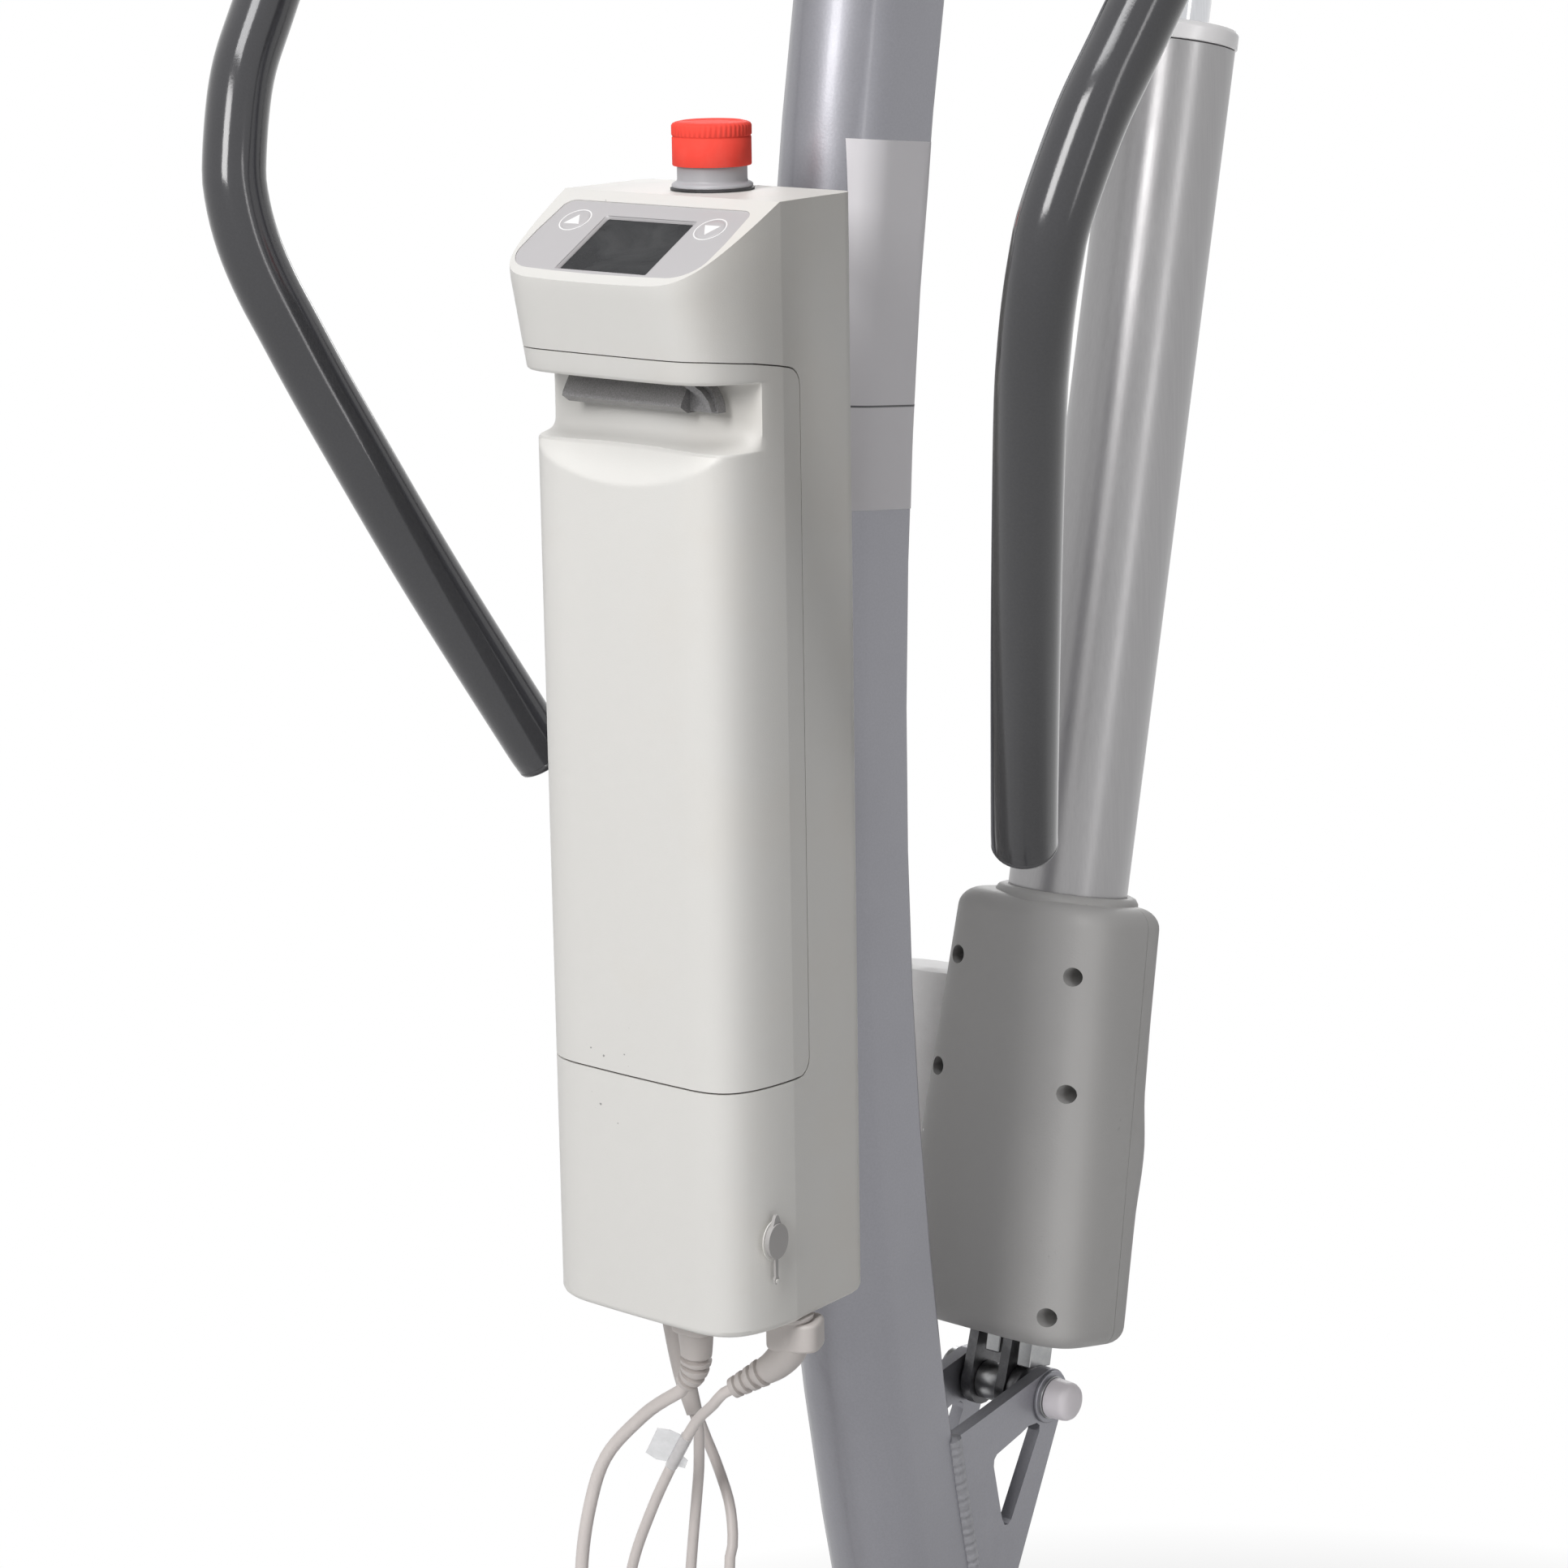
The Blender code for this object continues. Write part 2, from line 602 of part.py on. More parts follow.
# Hanger and spreader bar with their hooks
cheek_in = TIP_LUG_W / 2 + FIT
cheek_out = cheek_in + 6.0
stem_r = 9.0
bridge = tip.z - 46.0
hub_top = bridge - HANG_DROP
hub_low = hub_top - 40.0
parts = []
for sign in (1, -1):
    cheek = [(tip.x - 15.0, bridge - 5.0), (tip.x + 15.0, bridge - 5.0)]
    cheek += arc((tip.x, tip.z), 15.0, 0, 180, 10)
    parts.append(slab((0, 0, 0), EX, EZ, EY * sign, cheek, cheek_in, cheek_out))
parts.append(rod(tip - EY * (cheek_out - 1), tip + EY * (cheek_out - 1), TIP_PIN_R))
stem = [(stem_r + 4.0, 0.0), (stem_r + 4.0, HANG_DROP - 8.0), (stem_r, HANG_DROP - 8.0)]
stem += [(stem_r, HANG_DROP + 32.0 + FIT), (14.0, HANG_DROP + 32.0 + FIT),
         (14.0, HANG_DROP + 38.0)]
parts.append(turned(stem, (tip.x, 0, bridge - 8.0), -EZ))
bridge_block = block(tip.x - HANGER_HALF, tip.x + HANGER_HALF, -cheek_out - 1.0, cheek_out + 1.0,
                     bridge - 15.0, bridge)
finish(join(bridge_block, *parts), "hanger", zinc, tip)
SPREAD = 200.0
hub = rod((tip.x, 0, hub_low), (tip.x, 0, hub_top - FIT), 19.0)
z = hub_low + 20.0
route = [(0, 0), (60, 1), (120, 0), (165, -5), (197, -18), (216, -40), (210, -62), (191, -71),
         (174, -62), (170, -47)]
parts = []
for sign in (1, -1):
    path = smooth([(tip.x, sign * p[0] * SPREAD / 200.0, z + p[1]) for p in route], 17.0)
    radii = [12.0 - 5.0 * max(0.0, (i / (len(path) - 1) - 0.45) / 0.55) for i in range(len(path))]
    parts.append(swept(path, radii, 10))
    y = sign * (SPREAD - 37.0)
    parts.append(block(tip.x - 2.5, tip.x + 2.5, y - 5.0, y + 5.0, z - 24.0, z))
bar = join(hub, *parts)
holes = [rod((tip.x, 0, hub_low - 5), (tip.x, 0, hub_top + 5), stem_r + FIT)]
for sign in (1, -1):
    y = sign * (SPREAD - 37.0)
    holes.append(rod((tip.x - 8, y, z - 20.0), (tip.x + 8, y, z - 20.0), 2.3, SMALL))
finish(cut(bar, *holes), "spreader_bar", zinc, (tip.x, 0, hub_low))
for sign, side in ((1, "left"), (-1, "right")):
    y = sign * (SPREAD - 37.0)
    parts = []
    for turn in (1, -1):
        parts.append(block(tip.x + turn * 2.8, tip.x + turn * 5.2, y - 3.8, y + 3.8,
                           z - 30.0, z - 17.6))
    parts.append(rod((tip.x - 5, y, z - 20.0), (tip.x + 5, y, z - 20.0), 2.0, SMALL))
    outline = [(y - sign * 3.2, z - 27.5), (y + sign * 3.8, z - 27.5),
               (y + sign * 10.0, z - 39.4), (y + sign * 4.0, z - 39.4)]
    blade = prism(outline, "X", tip.x - 4.9, tip.x + 4.9)
    finish(join(blade, *parts), side + "_catch", zinc, (tip.x, y, z - 20.0))

# Push handles: one bent tube behind the mast, held by a clamp
right_side = [(132, 0, 620), (132, 70, 620), (131, 132, 620), (125, 175, 618), (109, 205, 609),
              (85, 220, 592), (58, 223, 560), (29.4, 218.5, 519), (13, 214.6, 493.4),
              (1, 208.5, 461.1), (-0.9, 205.4, 444.7), (0.4, 201.4, 428), (4.4, 196.5, 411.1),
              (10.3, 190.9, 393.9), (23.6, 180.2, 359), (53.2, 157.4, 287.6),
              (86.8, 132.4, 213.6), (92.4, 128.4, 202.4)]
half_path = smooth(right_side, 25.0)
path = [Vector((p.x, -p.y, p.z)) for p in half_path[:0:-1]] + half_path
finish(swept(path, HANDLE_R, 12), "push_handle", dark_steel)
clamp_rear = HANDLE_CROSS_X - HANDLE_R - CLAMP_T
clamp = block(clamp_rear, mast_x(HANDLE_CROSS_Z) + 8.0, -MAST_W / 2 - 8.0, MAST_W / 2 + 8.0,
              HANDLE_CROSS_Z - 20.0, HANDLE_CROSS_Z + 20.0)
tube_gap = rod((HANDLE_CROSS_X, -60, HANDLE_CROSS_Z), (HANDLE_CROSS_X, 60, HANDLE_CROSS_Z),
               HANDLE_R + FIT)
finish(cut(clamp, mast_solid(HANDLE_CROSS_Z - 40, HANDLE_CROSS_Z + 40, FIT), tube_gap),
       "handle_clamp", black)

# Bracket that carries the actuator's lower pin
foot = Vector((ACT_X, 0, ACT_Z))
outline = [(mast_front(-107.0) + FIT, -107.0), (205.0, -104.0)]
outline += arc((ACT_X, ACT_Z), BOSS_R, 96, -32, 10)
outline += [(230.0, -186.0), (mast_front(-225.0) + FIT + 2.0, -225.0)]
outline += [(mast_front(z) + FIT, z) for z in (-225.0, -210.0, -180.0, -150.0, -130.0)]
bracket = prism(outline, "Y", -EAR_OUT, EAR_OUT)
hollow = [(mast_front(z) + FIT + 6.0, z) for z in (-240.0, -200.0, -160.0, -120.0, -80.0)]
hollow += [(300.0, -80.0), (300.0, -240.0)]
window = [(236.0, -123.0), (222.0, -125.5), (219.0, -129.0), (222.0, -152.0), (225.0, -154.0),
          (239.0, -128.0)]
holes = [prism(hollow, "Y", -EAR_IN, EAR_IN), prism(window, "Y", -60, 60),
         rod(foot - EY * 60, foot + EY * 60, LOWER_PIN_R + FIT)]
finish(cut(bracket, *holes), "actuator_bracket", silver)
head = EAR_OUT + FIT
pin = [(11.0, -head - 5.0), (11.0, -head), (LOWER_PIN_R, -head), (LOWER_PIN_R, head),
       (10.0, head), (10.0, head + 2.2), (LOWER_PIN_R, head + 2.2), (LOWER_PIN_R, head + 7.5)]
finish(turned(pin, foot, -EY), "lower_pin", zinc)
ring_y = head + 2.2 + FIT
cap = [(LOWER_PIN_R + FIT, head + 7.5 + FIT), (LOWER_PIN_R + FIT, ring_y), (PIN_CAP_R, ring_y),
       (PIN_CAP_R, ring_y + 6.5), (PIN_CAP_R * 0.93, ring_y + 8.8),
       (PIN_CAP_R * 0.75, ring_y + 10.6), (PIN_CAP_R * 0.42, ring_y + 11.7)]
finish(turned(cap, foot, -EY), "right_pin_cap", white)


# Actuator, in its own frame: u along the axis, y across, v forward of the seam plane
lean = math.radians(ACT_LEAN)
AU = Vector((math.sin(lean), 0, math.cos(lean)))
AV = Vector((math.cos(lean), 0, -math.sin(lean)))
FRONT_TABLE = ((28, 0.80), (33, 0.90), (67, 0.95), (97, 1.0), (135, 0.95), (175, 0.78),
               (199, 0.62), (215, 0.48), (228, 0.38))
END_TABLE = ((28, 0.84), (30, 0.92), (35, 0.975), (44, 1.0), (210, 1.0), (220, 0.975),
             (226, 0.92), (228, 0.86))


def look_up(table, value):
    if value <= table[0][0]:
        return table[0][1]
    for (a, low), (b, high) in zip(table, table[1:]):
        if value <= b:
            return low + (high - low) * (value - a) / (b - a)
    return table[-1][1]


def on_axis(u, y=0.0, v=0.0):
    return foot + AU * u + EY * y + AV * v


def shell_ring(u, grow, count=32):
    share = (u - HOUSING_LOW) / (HOUSING_TOP - HOUSING_LOW)
    level = 28 + share * 200
    half = HOUSING_HALF_LOW + (HOUSING_HALF_TOP - HOUSING_HALF_LOW) * share
    size = look_up(END_TABLE, level)
    half = half * size + grow
    rear = REAR_DEPTH * size + grow
    front = FRONT_DEPTH * look_up(FRONT_TABLE, level) * size + grow
    ring = []
    for i in range(count):
        t = 2 * math.pi * i / count
        c = math.cos(t)
        s = math.sin(t)
        y = half * math.copysign(abs(c) ** 0.8, c)
        v = (front if s > 0 else rear) * math.copysign(abs(s) ** 0.8, s)
        ring.append(on_axis(u, y, v))
    return ring


def housing(grow, inset_low=0.0, inset_top=0.0, count=32):
    levels = (0.0, 0.012, 0.035, 0.08, 0.2, 0.35, 0.53, 0.73, 0.86, 0.93, 0.985, 1.0)
    low = HOUSING_LOW + inset_low
    top = HOUSING_TOP - inset_top
    span = HOUSING_TOP - HOUSING_LOW
    heights = [HOUSING_LOW + span * f for f in levels]
    heights = [low] + [h for h in heights if low + 1 < h < top - 1] + [top]
    return loft([shell_ring(h, grow, count) for h in heights])


def motor_rod(low, high, radius, count=SIDE):
    return rod(on_axis(low, MOTOR_Y), on_axis(high, MOTOR_Y), radius, count)


SHANK_R = 10.0
tube_low = HOUSING_TOP - 48.0
tube_gap = TUBE_R + FIT
for sign, name in ((-1, "rear_shell"), (1, "front_shell")):
    half_space = slab(foot, AU, EY, AV, [(-50, -150), (400, -150), (400, 150), (-50, 150)],
                      *sorted((-sign * 100.0, sign * FIT / 2)))
    tools = [housing(-SHELL_WALL, 5.0, 28.0, 24), half_space,
             rod(on_axis(tube_low - 2.0), on_axis(HOUSING_TOP + 40), tube_gap, FINE),
             rod(on_axis(HOUSING_LOW - 20), on_axis(HOUSING_LOW + 8), SHANK_R + FIT)]
    finish(cut(housing(0.0), *tools), name, grey, foot)
cover = [(MOTOR_R - 5.0, 0.0), (MOTOR_R - 1.2, 1.6), (MOTOR_R, 6.0),
         (MOTOR_R, MOTOR_TOP - MOTOR_LOW - 6.0), (MOTOR_R - 1.2, MOTOR_TOP - MOTOR_LOW - 1.6),
         (MOTOR_R - 5.0, MOTOR_TOP - MOTOR_LOW)]
cover = turned(cover, on_axis(MOTOR_LOW, MOTOR_Y), AU)
cavity = motor_rod(MOTOR_LOW + 4.0, MOTOR_TOP - 4.0, MOTOR_R - SHELL_WALL)
slot = slab(foot, AU, EY, AV, [(MOTOR_LOW + 15, 35), (MOTOR_TOP - 15, 35),
                               (MOTOR_TOP - 15, MOTOR_Y - 8), (MOTOR_LOW + 15, MOTOR_Y - 8)],
            -9, 9)
cover = cut(cover, housing(FIT), cavity, slot)
finish(join(cover, motor_rod(MOTOR_LOW - 8.0, MOTOR_LOW + 2.0, 5.0, SMALL)), "motor_cover",
       material("light_grey", (0.4, 0.4, 0.395), 0.5), foot)
finish(motor_rod(MOTOR_LOW + 4.0 + FIT, MOTOR_TOP - 4.0 - FIT, MOTOR_R - SHELL_WALL - FIT, 20),
       "drive_motor", dark_steel, foot)

clevis_half = EAR_IN - FIT
shank_top = HOUSING_LOW + 27.0
clevis = rod(foot - EY * clevis_half, foot + EY * clevis_half, 12.0)
neck = slab(foot, AU, EY, AV, [(4, -clevis_half + 1), (HOUSING_LOW - FIT, -clevis_half + 1),
                               (HOUSING_LOW - FIT, clevis_half - 1), (4, clevis_half - 1)],
            -10.5, 10.5)
shank = rod(on_axis(15), on_axis(shank_top), SHANK_R)
collar = rod(on_axis(HOUSING_LOW + 5.0 + FIT), on_axis(HOUSING_LOW + 12.0), SHANK_R + 4.0)
holes = [rod(foot - EY * 60, foot + EY * 60, LOWER_PIN_R + FIT),
         rod(on_axis(shank_top - 9.0), on_axis(shank_top + 9.0), SPINDLE_R + FIT, SMALL)]
finish(cut(join(clevis, neck, shank, collar), *holes), "lower_clevis", dark_steel, foot)
loop = [(TUBE_BORE, tube_low), (TUBE_R, tube_low), (TUBE_R, TUBE_TOP), (TUBE_BORE, TUBE_TOP)]
tube = tubular(loop, foot, AU, FINE)
aluminium = material("satin_aluminium", (0.72, 0.72, 0.73), 0.3, 0.9)
chrome = material("chrome", (0.85, 0.85, 0.86), 0.08, 1.0)
finish(tube, "guide_tube", aluminium, foot)
loop = [(ROD_R + 0.4, TUBE_TOP - 14.0), (TUBE_BORE - FIT, TUBE_TOP - 14.0),
        (TUBE_BORE - FIT, TUBE_TOP + FIT), (TUBE_R + 0.8, TUBE_TOP + FIT),
        (TUBE_R + 0.8, TUBE_TOP + CAP_T - 2.0), (TUBE_R - 0.8, TUBE_TOP + CAP_T),
        (ROD_R + 0.4, TUBE_TOP + CAP_T)]
finish(tubular(loop, foot, AU, FINE), "tube_cap", aluminium, foot)
piston_low = TUBE_TOP - 107.0
profile = [(TUBE_BORE - 0.5, piston_low), (TUBE_BORE - 0.5, piston_low + 30.0),
           (ROD_R, piston_low + 30.0), (ROD_R, ACT_LEN - EYE_R + 3.0)]
eye_at = on_axis(ACT_LEN)
eye = rod(eye_at - EY * EYE_HALF, eye_at + EY * EYE_HALF, EYE_R)
holes = [rod(on_axis(piston_low - 5), on_axis(ACT_LEN - 39.0), ROD_BORE, SMALL),
         rod(eye_at - EY * 40, eye_at + EY * 40, UPPER_PIN_R + FIT, SMALL)]
finish(cut(join(turned(profile, foot, AU), eye), *holes), "piston_rod", chrome, foot)
finish(rod(on_axis(shank_top - 8.5), on_axis(TUBE_TOP - 17.0), SPINDLE_R, SMALL), "spindle",
       zinc, foot)
finish(rod(eye_at - EY * (EYE_HALF + FIT), eye_at + EY * (EYE_HALF + FIT), UPPER_PIN_R, SMALL),
       "upper_pin", zinc, foot)


# Control box: case with the head, battery in front, panel on the sloping top
def box_half_outline(grow, flare):
    points = [(0.00055 * y * y, y) for y in (0.0, 9.0, 18.0, 27.0)]
    for i in range(1, 7):
        a = math.radians(15 * i)
        points.append((24 - 24 * math.cos(a), 27 + 28 * math.sin(a)))
    points += [(36.3, 55.0), (BOX_DEPTH - 6, 53.5), (BOX_DEPTH - 1.8, 51.7), (BOX_DEPTH, 47.5)]
    result = []
    for x, y in points:
        y = y * (BOX_HALF + grow) / 55.0
        lean_out = flare * max(0.0, 1 - x / 36.3)
        push = grow if x > 40 else -grow
        result.append((x + push - lean_out, y))
    return result


def box_ring(z, grow, flare):
    half = box_half_outline(grow, flare)
    points = half + [(x, -y) for x, y in half[:0:-1]]
    return [Vector((x, y, z)) for x, y in points]


def box_body(low, top, grow=0.0, soft_low=True):
    levels = []
    if soft_low:
        levels += [(low, grow - 2.5, 0.0), (low + 0.9, grow - 0.8, 0.0), (low + 3.0, grow, 0.0)]
    else:
        levels += [(low, grow, 0.0)]
    if top > HEAD_Z + 30:
        levels += [(HEAD_Z - 2.0, grow, 0.0), (HEAD_Z + 7.0, grow, 2.2), (HEAD_Z + 15.0, grow, 5.8),
                   (HEAD_Z + 28.4, grow, 12.7)]
    return loft([box_ring(*level) for level in levels] + [box_ring(top, grow, levels[-1][2])])


tilt = math.radians(PANEL_TILT)
PS = Vector((math.cos(tilt), 0, math.sin(tilt)))
PN = Vector((-math.sin(tilt), 0, math.cos(tilt)))
panel = Vector((PANEL_X, 0, PANEL_Z))


def panel_z(x):
    return PANEL_Z + (x - PANEL_X) * math.tan(tilt)


crest = PANEL_X + (BOX_TOP - PANEL_Z) / math.tan(tilt)
front_edge = [(-60.0, panel_z(-60.0)), (90.0, panel_z(90.0)), (-60.0, panel_z(90.0))]
seam = BATTERY_REAR
battery_high = HEAD_Z - 4.0
case_rear = BOX_DEPTH - 4.0
tools = [prism(front_edge, "Y", -90, 90),
         block(-40, seam + FIT, -90, 90, BOX_SEAM_Z, battery_high),
         block(case_rear, BOX_DEPTH + 20, -90, 90, -20, BOX_TOP - 3.0)]
back_room = block(seam + CASE_WALL + FIT, case_rear + 10, -48, 48, 5.0, BOX_TOP - 4.5)
low_room = block(10.5, case_rear - 5, -45.5, 45.5, 4.0, BOX_SEAM_Z - 4.0)
wall = CASE_WALL / math.cos(tilt)
head_room = [(8.5, HEAD_Z + 3.0), (60.0, HEAD_Z + 3.0), (60.0, BOX_TOP - 4.6),
             (crest - 2.0, BOX_TOP - 4.6), (8.5, panel_z(8.5) - wall - 2.2)]
tools += [back_room, low_room, prism(head_room, "Y", -44.0, 44.0)]


def panel_slab(outline, low, high):
    return slab(panel, PS, EY, PN, outline, low, high)


def membrane_outline(grow):
    half = [(1.5 + grow, 47.4 + grow), (-33.0, 48.0 + grow), (-40.5 - grow, 44.5 + grow),
            (-43.7 - grow, 37.0 + grow)]
    return half + [(s, -y) for s, y in half[::-1]]


BUNG_X = 22.0
BUNG_Z = 40.0
tools.append(panel_slab(membrane_outline(FIT), -1.8, 20.0))
for sign in (1, -1):
    centre = panel + PS * BUTTON_S + EY * sign * BUTTON_Y
    tools.append(rod(centre - PN * 20, centre + PN * 5, BUTTON_R + FIT))
tools.append(rod((BUNG_X, -80, BUNG_Z), (BUNG_X, -44, BUNG_Z), 4.0 + FIT, SMALL))
finish(cut(box_body(0.0, BOX_TOP), *tools), "control_case", white)

SCREEN = [(-38.5, -21.3), (-7.9, -21.3), (-7.9, 21.3), (-38.5, 21.3)]
wide = [(-38.5 - FIT, -21.3 - FIT), (-7.9 + FIT, -21.3 - FIT), (-7.9 + FIT, 21.3 + FIT),
        (-38.5 - FIT, 21.3 + FIT)]
tools = [panel_slab(wide, -5, 5)]
for sign in (1, -1):
    centre = panel + PS * BUTTON_S + EY * sign * BUTTON_Y
    tools.append(rod(centre - PN * 20, centre + PN * 5, BUTTON_R + FIT))
membrane = material("membrane", (0.55, 0.57, 0.6), 0.4)
screen = material("screen", (0.03, 0.033, 0.036), 0.12)
red = material("stop_red", (0.72, 0.05, 0.03), 0.35)
mid_grey = material("mid_grey", (0.32, 0.32, 0.33), 0.45)
finish(cut(panel_slab(membrane_outline(0.0), -1.5, -0.3), *tools), "keypad_panel", membrane)
finish(panel_slab(SCREEN, -1.5, -0.1), "display_window", screen)
for sign, name in ((1, "up_button"), (-1, "down_button")):
    centre = panel + PS * BUTTON_S + EY * sign * BUTTON_Y
    profile = [(BUTTON_R, -4.0), (BUTTON_R, 0.1), (BUTTON_R - 0.8, 0.6)]
    finish(turned(profile, centre, PN, 20), name, mid_grey, centre)

stop = Vector((ESTOP_X, 0, BOX_TOP))
profile = [(16.0, FIT), (16.0, 3.5), (COLLAR_R, 3.5), (COLLAR_R, 12.3), (5.4, 12.3), (5.4, 4.0)]
finish(turned(profile, stop, EZ), "estop_collar", mid_grey)
cap_low = 12.3 + FIT
under = cap_low + ESTOP_PRESS + 0.6
profile = [(5.0, cap_low - 3.8), (5.0, under), (COLLAR_R + 0.4, under), (COLLAR_R + 0.4, cap_low),
           (ESTOP_R, cap_low), (ESTOP_R, cap_low + 8.4), (ESTOP_R - 1.0, cap_low + 10.2),
           (ESTOP_R - 3.0, cap_low + 11.4)]
finish(turned(profile, stop, EZ), "estop_cap", red, stop)

# Battery: shell, cells and latch
outline = [(-40.0, BOX_SEAM_Z + FIT), (seam, BOX_SEAM_Z + FIT), (seam, battery_high - FIT),
           (-40.0, battery_high - FIT)]
keeper = prism(outline, "Y", -90, 90)
recess = [(17.0 + 0.0056 * y * y, y) for y in range(-60, 61, 15)] + [(-60.0, 60.0), (-60.0, -60.0)]
room = block(11.5, seam + 5, -44.5, 44.5, BOX_SEAM_Z + 5.0, BATTERY_TOP - 8.0)
shell = keep(box_body(BOX_SEAM_Z - 20.0, battery_high + 20.0, 0.0, False), keeper)
shell = cut(shell, prism(recess, "Z", BATTERY_TOP, battery_high + 10.0), room)
finish(shell, "battery_case", white, (0, 0, BOX_SEAM_Z))
finish(block(11.5 + FIT, seam - 1.0, -44.5 + FIT, 44.5 - FIT, BOX_SEAM_Z + 5.0 + FIT,
             BATTERY_TOP - 8.0 - FIT), "battery_cells", mid_grey, (0, 0, BOX_SEAM_Z))
latch = [(7.1, 377.4), (14.4, 385.7), (16.4, 385.7), (16.4, 374.0), (10.0, 374.0)]
latch_top = [(x, z + BATTERY_TOP - 360.0) for x, z in latch]
finish(prism(latch_top, "Y", -34.0, 34.0), "battery_latch", mid_grey,
       (15.4, 0, BATTERY_TOP + 25.0))

# Board behind the battery, back plate with its two saddles on the mast
board = seam + CASE_WALL + 2 * FIT
finish(block(board, board + 1.8, -40, 40, 125, 330), "circuit_board",
       material("board_green", (0.03, 0.16, 0.06), 0.5))
plate = prism(rounded(-50, 50, 4.0, BOX_TOP - 4.0, 5.0, 2), "X", case_rear + FIT, BOX_DEPTH)
saddles = [block(BOX_DEPTH - 2.0, mast_x(z) - 8.0, -21, 21, z - 25.0, z + 25.0) for z in (90.0, 360.0)]
finish(cut(join(plate, *saddles), mast_solid(30.0, 420.0, FIT)), "back_plate", grey)
bung = prism([(x, z) for x, z in ((BUNG_X + 6.25 * math.cos(a / 8 * math.pi),
                                   BUNG_Z + 7.5 * math.sin(a / 8 * math.pi))
                                  for a in range(16))], "Y", -BOX_HALF - 3.3, -BOX_HALF - FIT)
stub = rod((BUNG_X, -BOX_HALF - 1.0, BUNG_Z), (BUNG_X, -BOX_HALF + 7.0, BUNG_Z), 4.0, SMALL)
finish(join(bung, stub), "rubber_bung", grey, (BUNG_X, -BOX_HALF, BUNG_Z))


# Handset in its cradle behind the mast
HANDSET_X = 133.0
HANDSET_TOP = -295.0
HANDSET_LEN = 175.0
HEAD_H = 27.0
NECK_HALF = 17.5
HANDSET_T = 24.0
ledge = HANDSET_TOP - HEAD_H
head_part = prism(rounded(HANDSET_X - HANDSET_T / 2 - 0.5, HANDSET_X + HANDSET_T / 2 + 0.5,
                          -27.0, 27.0, 7.0), "Z", ledge + FIT, HANDSET_TOP)
neck_part = prism(rounded(HANDSET_X - HANDSET_T / 2, HANDSET_X + HANDSET_T / 2,
                          -NECK_HALF, NECK_HALF, 6.0), "Z", HANDSET_TOP - HANDSET_LEN,
                  HANDSET_TOP - 5.0)
face_x = HANDSET_X - HANDSET_T / 2
rocker_z = ledge - 53.0
pocket = block(face_x - 5, face_x + 5.0, -11.0 - FIT, 11.0 + FIT, rocker_z - 22.0 - FIT,
               rocker_z + 22.0 + FIT)
finish(cut(join(head_part, neck_part), pocket), "handset_body", grey)
rocker = prism([(face_x + 2.5, rocker_z - 22.0), (face_x + 2.5, rocker_z + 22.0),
                (face_x - 1.0, rocker_z + 22.0), (face_x - 2.4, rocker_z + 11.0),
                (face_x - 0.6, rocker_z), (face_x - 2.4, rocker_z - 11.0),
                (face_x - 1.0, rocker_z - 22.0)], "Y", -11.0, 11.0)
finish(rocker, "handset_rocker", mid_grey, (face_x + 1.0, 0, rocker_z))
cradle_top = ledge
cradle = block(HANDSET_X + HANDSET_T / 2 + 5.0, mast_x(cradle_top) - 18.0, -26, 26,
               cradle_top - 16.0, cradle_top)
prongs = [block(face_x - 2.0, HANDSET_X + HANDSET_T / 2 + 9.0, *sorted((s * (NECK_HALF + 0.8), s * 25.5)),
                cradle_top - 15.0, cradle_top) for s in (1, -1)]
finish(cut(join(cradle, *prongs), mast_solid(cradle_top - 60, cradle_top + 60, FIT)),
       "handset_hook", black)

# Plugs under the box, then the three leads on routes chosen by hand
def plug(name, route, radii, count=16):
    finish(swept([Vector(p) for p in route], radii, count), name, grey)
    return Vector(route[-1]), (Vector(route[-1]) - Vector(route[-2])).normalized()


hand_exit = plug("handset_plug", [(35, -1, -FIT), (35, -1, -14), (35, -1, -15), (35, -1, -26),
                                  (35, 0.6, -34), (35, 5, -40)], [9.0, 9.0, 7.5, 6.5, 5.0, 4.0])
motor_exit = plug("motor_plug", [(43, -46, -FIT), (43, -46, -9), (42.6, -44.5, -16), (41, -39, -23),
                                 (38.5, -31, -29), (35, -21, -36)],
                  [8.0, 8.0, 7.5, 6.4, 4.8, 3.6])
drive_exit = plug("leg_drive_plug", [(60, 33, -FIT), (60, 33, -13), (60, 32.6, -14), (60, 31, -31),
                                     (60, 27.5, -50), (60, 22.3, -66)],
                  [8.0, 8.0, 6.8, 5.6, 4.4, 3.4])


def lead(name, points, diameter, mat):
    first = Vector(points[1]) - Vector(points[0])
    last = Vector(points[-1]) - Vector(points[-2])
    route = smooth(points, max(diameter * 2.4, 12.0))
    route.insert(1, route[0] + first.normalized() * 4.0)
    route.insert(-1, route[-1] - last.normalized() * 4.0)
    curve = bpy.data.curves.new(name, "CURVE")
    curve.dimensions = "3D"
    curve.bevel_depth = diameter / 2 * MM
    curve.bevel_resolution = 2
    curve.use_fill_caps = True
    curve.resolution_u = 1
    curve.render_resolution_u = 0
    spline = curve.splines.new("POLY")
    spline.points.add(len(route) - 1)
    for point, place in zip(spline.points, route):
        point.co = (*world(place), 1.0)
    curve.materials.append(mat)
    thing = bpy.data.objects.new(name, curve)
    bpy.context.collection.objects.link(thing)
    length = sum((route[i + 1] - route[i]).length for i in range(len(route) - 1))
    print(name, len(route), "points", round(length), "mm")


def past(exit_at, gap=FIT):
    return exit_at[0] + exit_at[1] * gap


